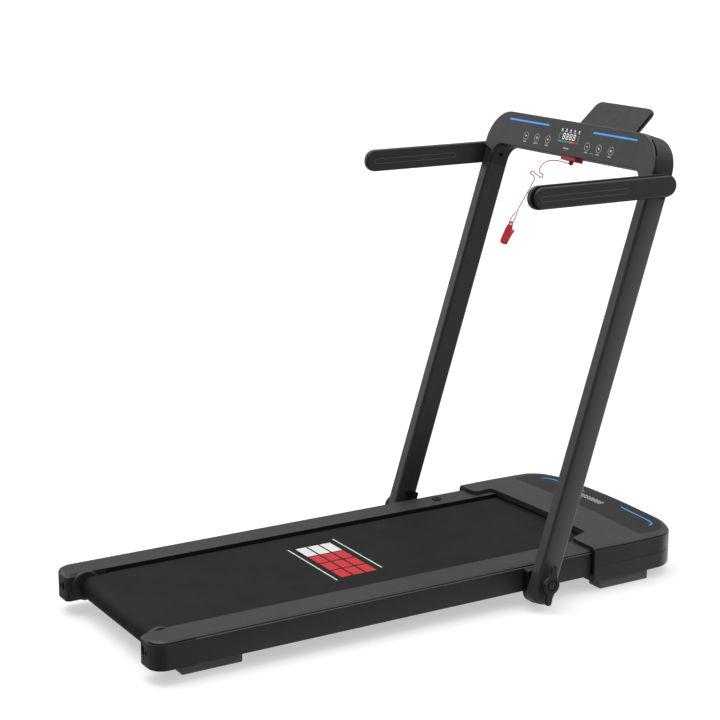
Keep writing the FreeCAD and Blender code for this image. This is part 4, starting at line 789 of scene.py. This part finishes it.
def studio_world():
    """Bright overhead, dimmer round the horizon, and plain white to the camera."""
    world = bpy.data.worlds.new("studio")
    bpy.context.scene.world = world
    world.use_nodes = True
    tree = world.node_tree
    background = tree.nodes["Background"]
    background.inputs["Color"].default_value = (1.0, 1.0, 1.0, 1.0)
    coords = tree.nodes.new("ShaderNodeTexCoord")
    split = tree.nodes.new("ShaderNodeSeparateXYZ")
    tree.links.new(coords.outputs["Generated"], split.inputs["Vector"])
    height = tree.nodes.new("ShaderNodeMapRange")
    height.inputs["From Min"].default_value = -1.0
    tree.links.new(split.outputs["Z"], height.inputs["Value"])
    rise = tree.nodes.new("ShaderNodeValToRGB")
    rise.color_ramp.interpolation = "EASE"
    while len(rise.color_ramp.elements) < len(WORLD_STEPS):
        rise.color_ramp.elements.new(0.5)
    for element, (level, strength) in zip(rise.color_ramp.elements, WORLD_STEPS):
        element.position = (level + 1.0) / 2.0
        element.color = (strength, strength, strength, 1.0)
    tree.links.new(height.outputs["Result"], rise.inputs["Fac"])
    lean = tree.nodes.new("ShaderNodeMapRange")
    lean.inputs["From Min"].default_value = -1.0
    lean.inputs["From Max"].default_value = 1.0
    lean.inputs["To Min"].default_value = 0.65
    lean.inputs["To Max"].default_value = 1.25
    tree.links.new(split.outputs["Y"], lean.inputs["Value"])
    product = world_math(tree, "MULTIPLY", rise.outputs["Color"], lean.outputs["Result"])
    shaded = world_patch(tree, coords, DARK_SIDE, 0.60, 0.97, 1.0, 0.25)
    glow = world_patch(tree, coords, BRIGHT_SIDE, 0.72, 1.0, 0.0, 1.1)
    darker = world_math(tree, "MULTIPLY", product, shaded)
    total = world_math(tree, "ADD", darker, glow)
    path = tree.nodes.new("ShaderNodeLightPath")
    mix = tree.nodes.new("ShaderNodeMix")
    tree.links.new(path.outputs["Is Camera Ray"], mix.inputs["Factor"])
    tree.links.new(total, mix.inputs["A"])
    mix.inputs["B"].default_value = 1.0
    tree.links.new(mix.outputs["Result"], background.inputs["Strength"])


def make_light():
    studio_world()
    sun = bpy.data.lights.new("overhead", "SUN")
    sun.energy = 1.25
    sun.angle = math.radians(50)
    made = bpy.data.objects.new("overhead", sun)
    made.rotation_euler = Vector((-0.25, -0.15, 1.0)).to_track_quat("Z", "Y").to_euler()
    bpy.context.scene.collection.objects.link(made)
    soft_box("console_glow", (-4.6, -2.3, 1.4), (0, 0.3, 0.7), 3.4, 2.2, 30.0)
    bpy.context.scene.view_settings.view_transform = "Standard"
    bpy.context.scene.view_settings.look = "None"


make_camera()
MATERIALS = make_materials()
cord = make_cord(MATERIALS)
dress_nodes(MATERIALS)
belt_marks(MATERIALS)
console_marks(MATERIALS)
hood_marks(MATERIALS)
make_stage()
make_light()
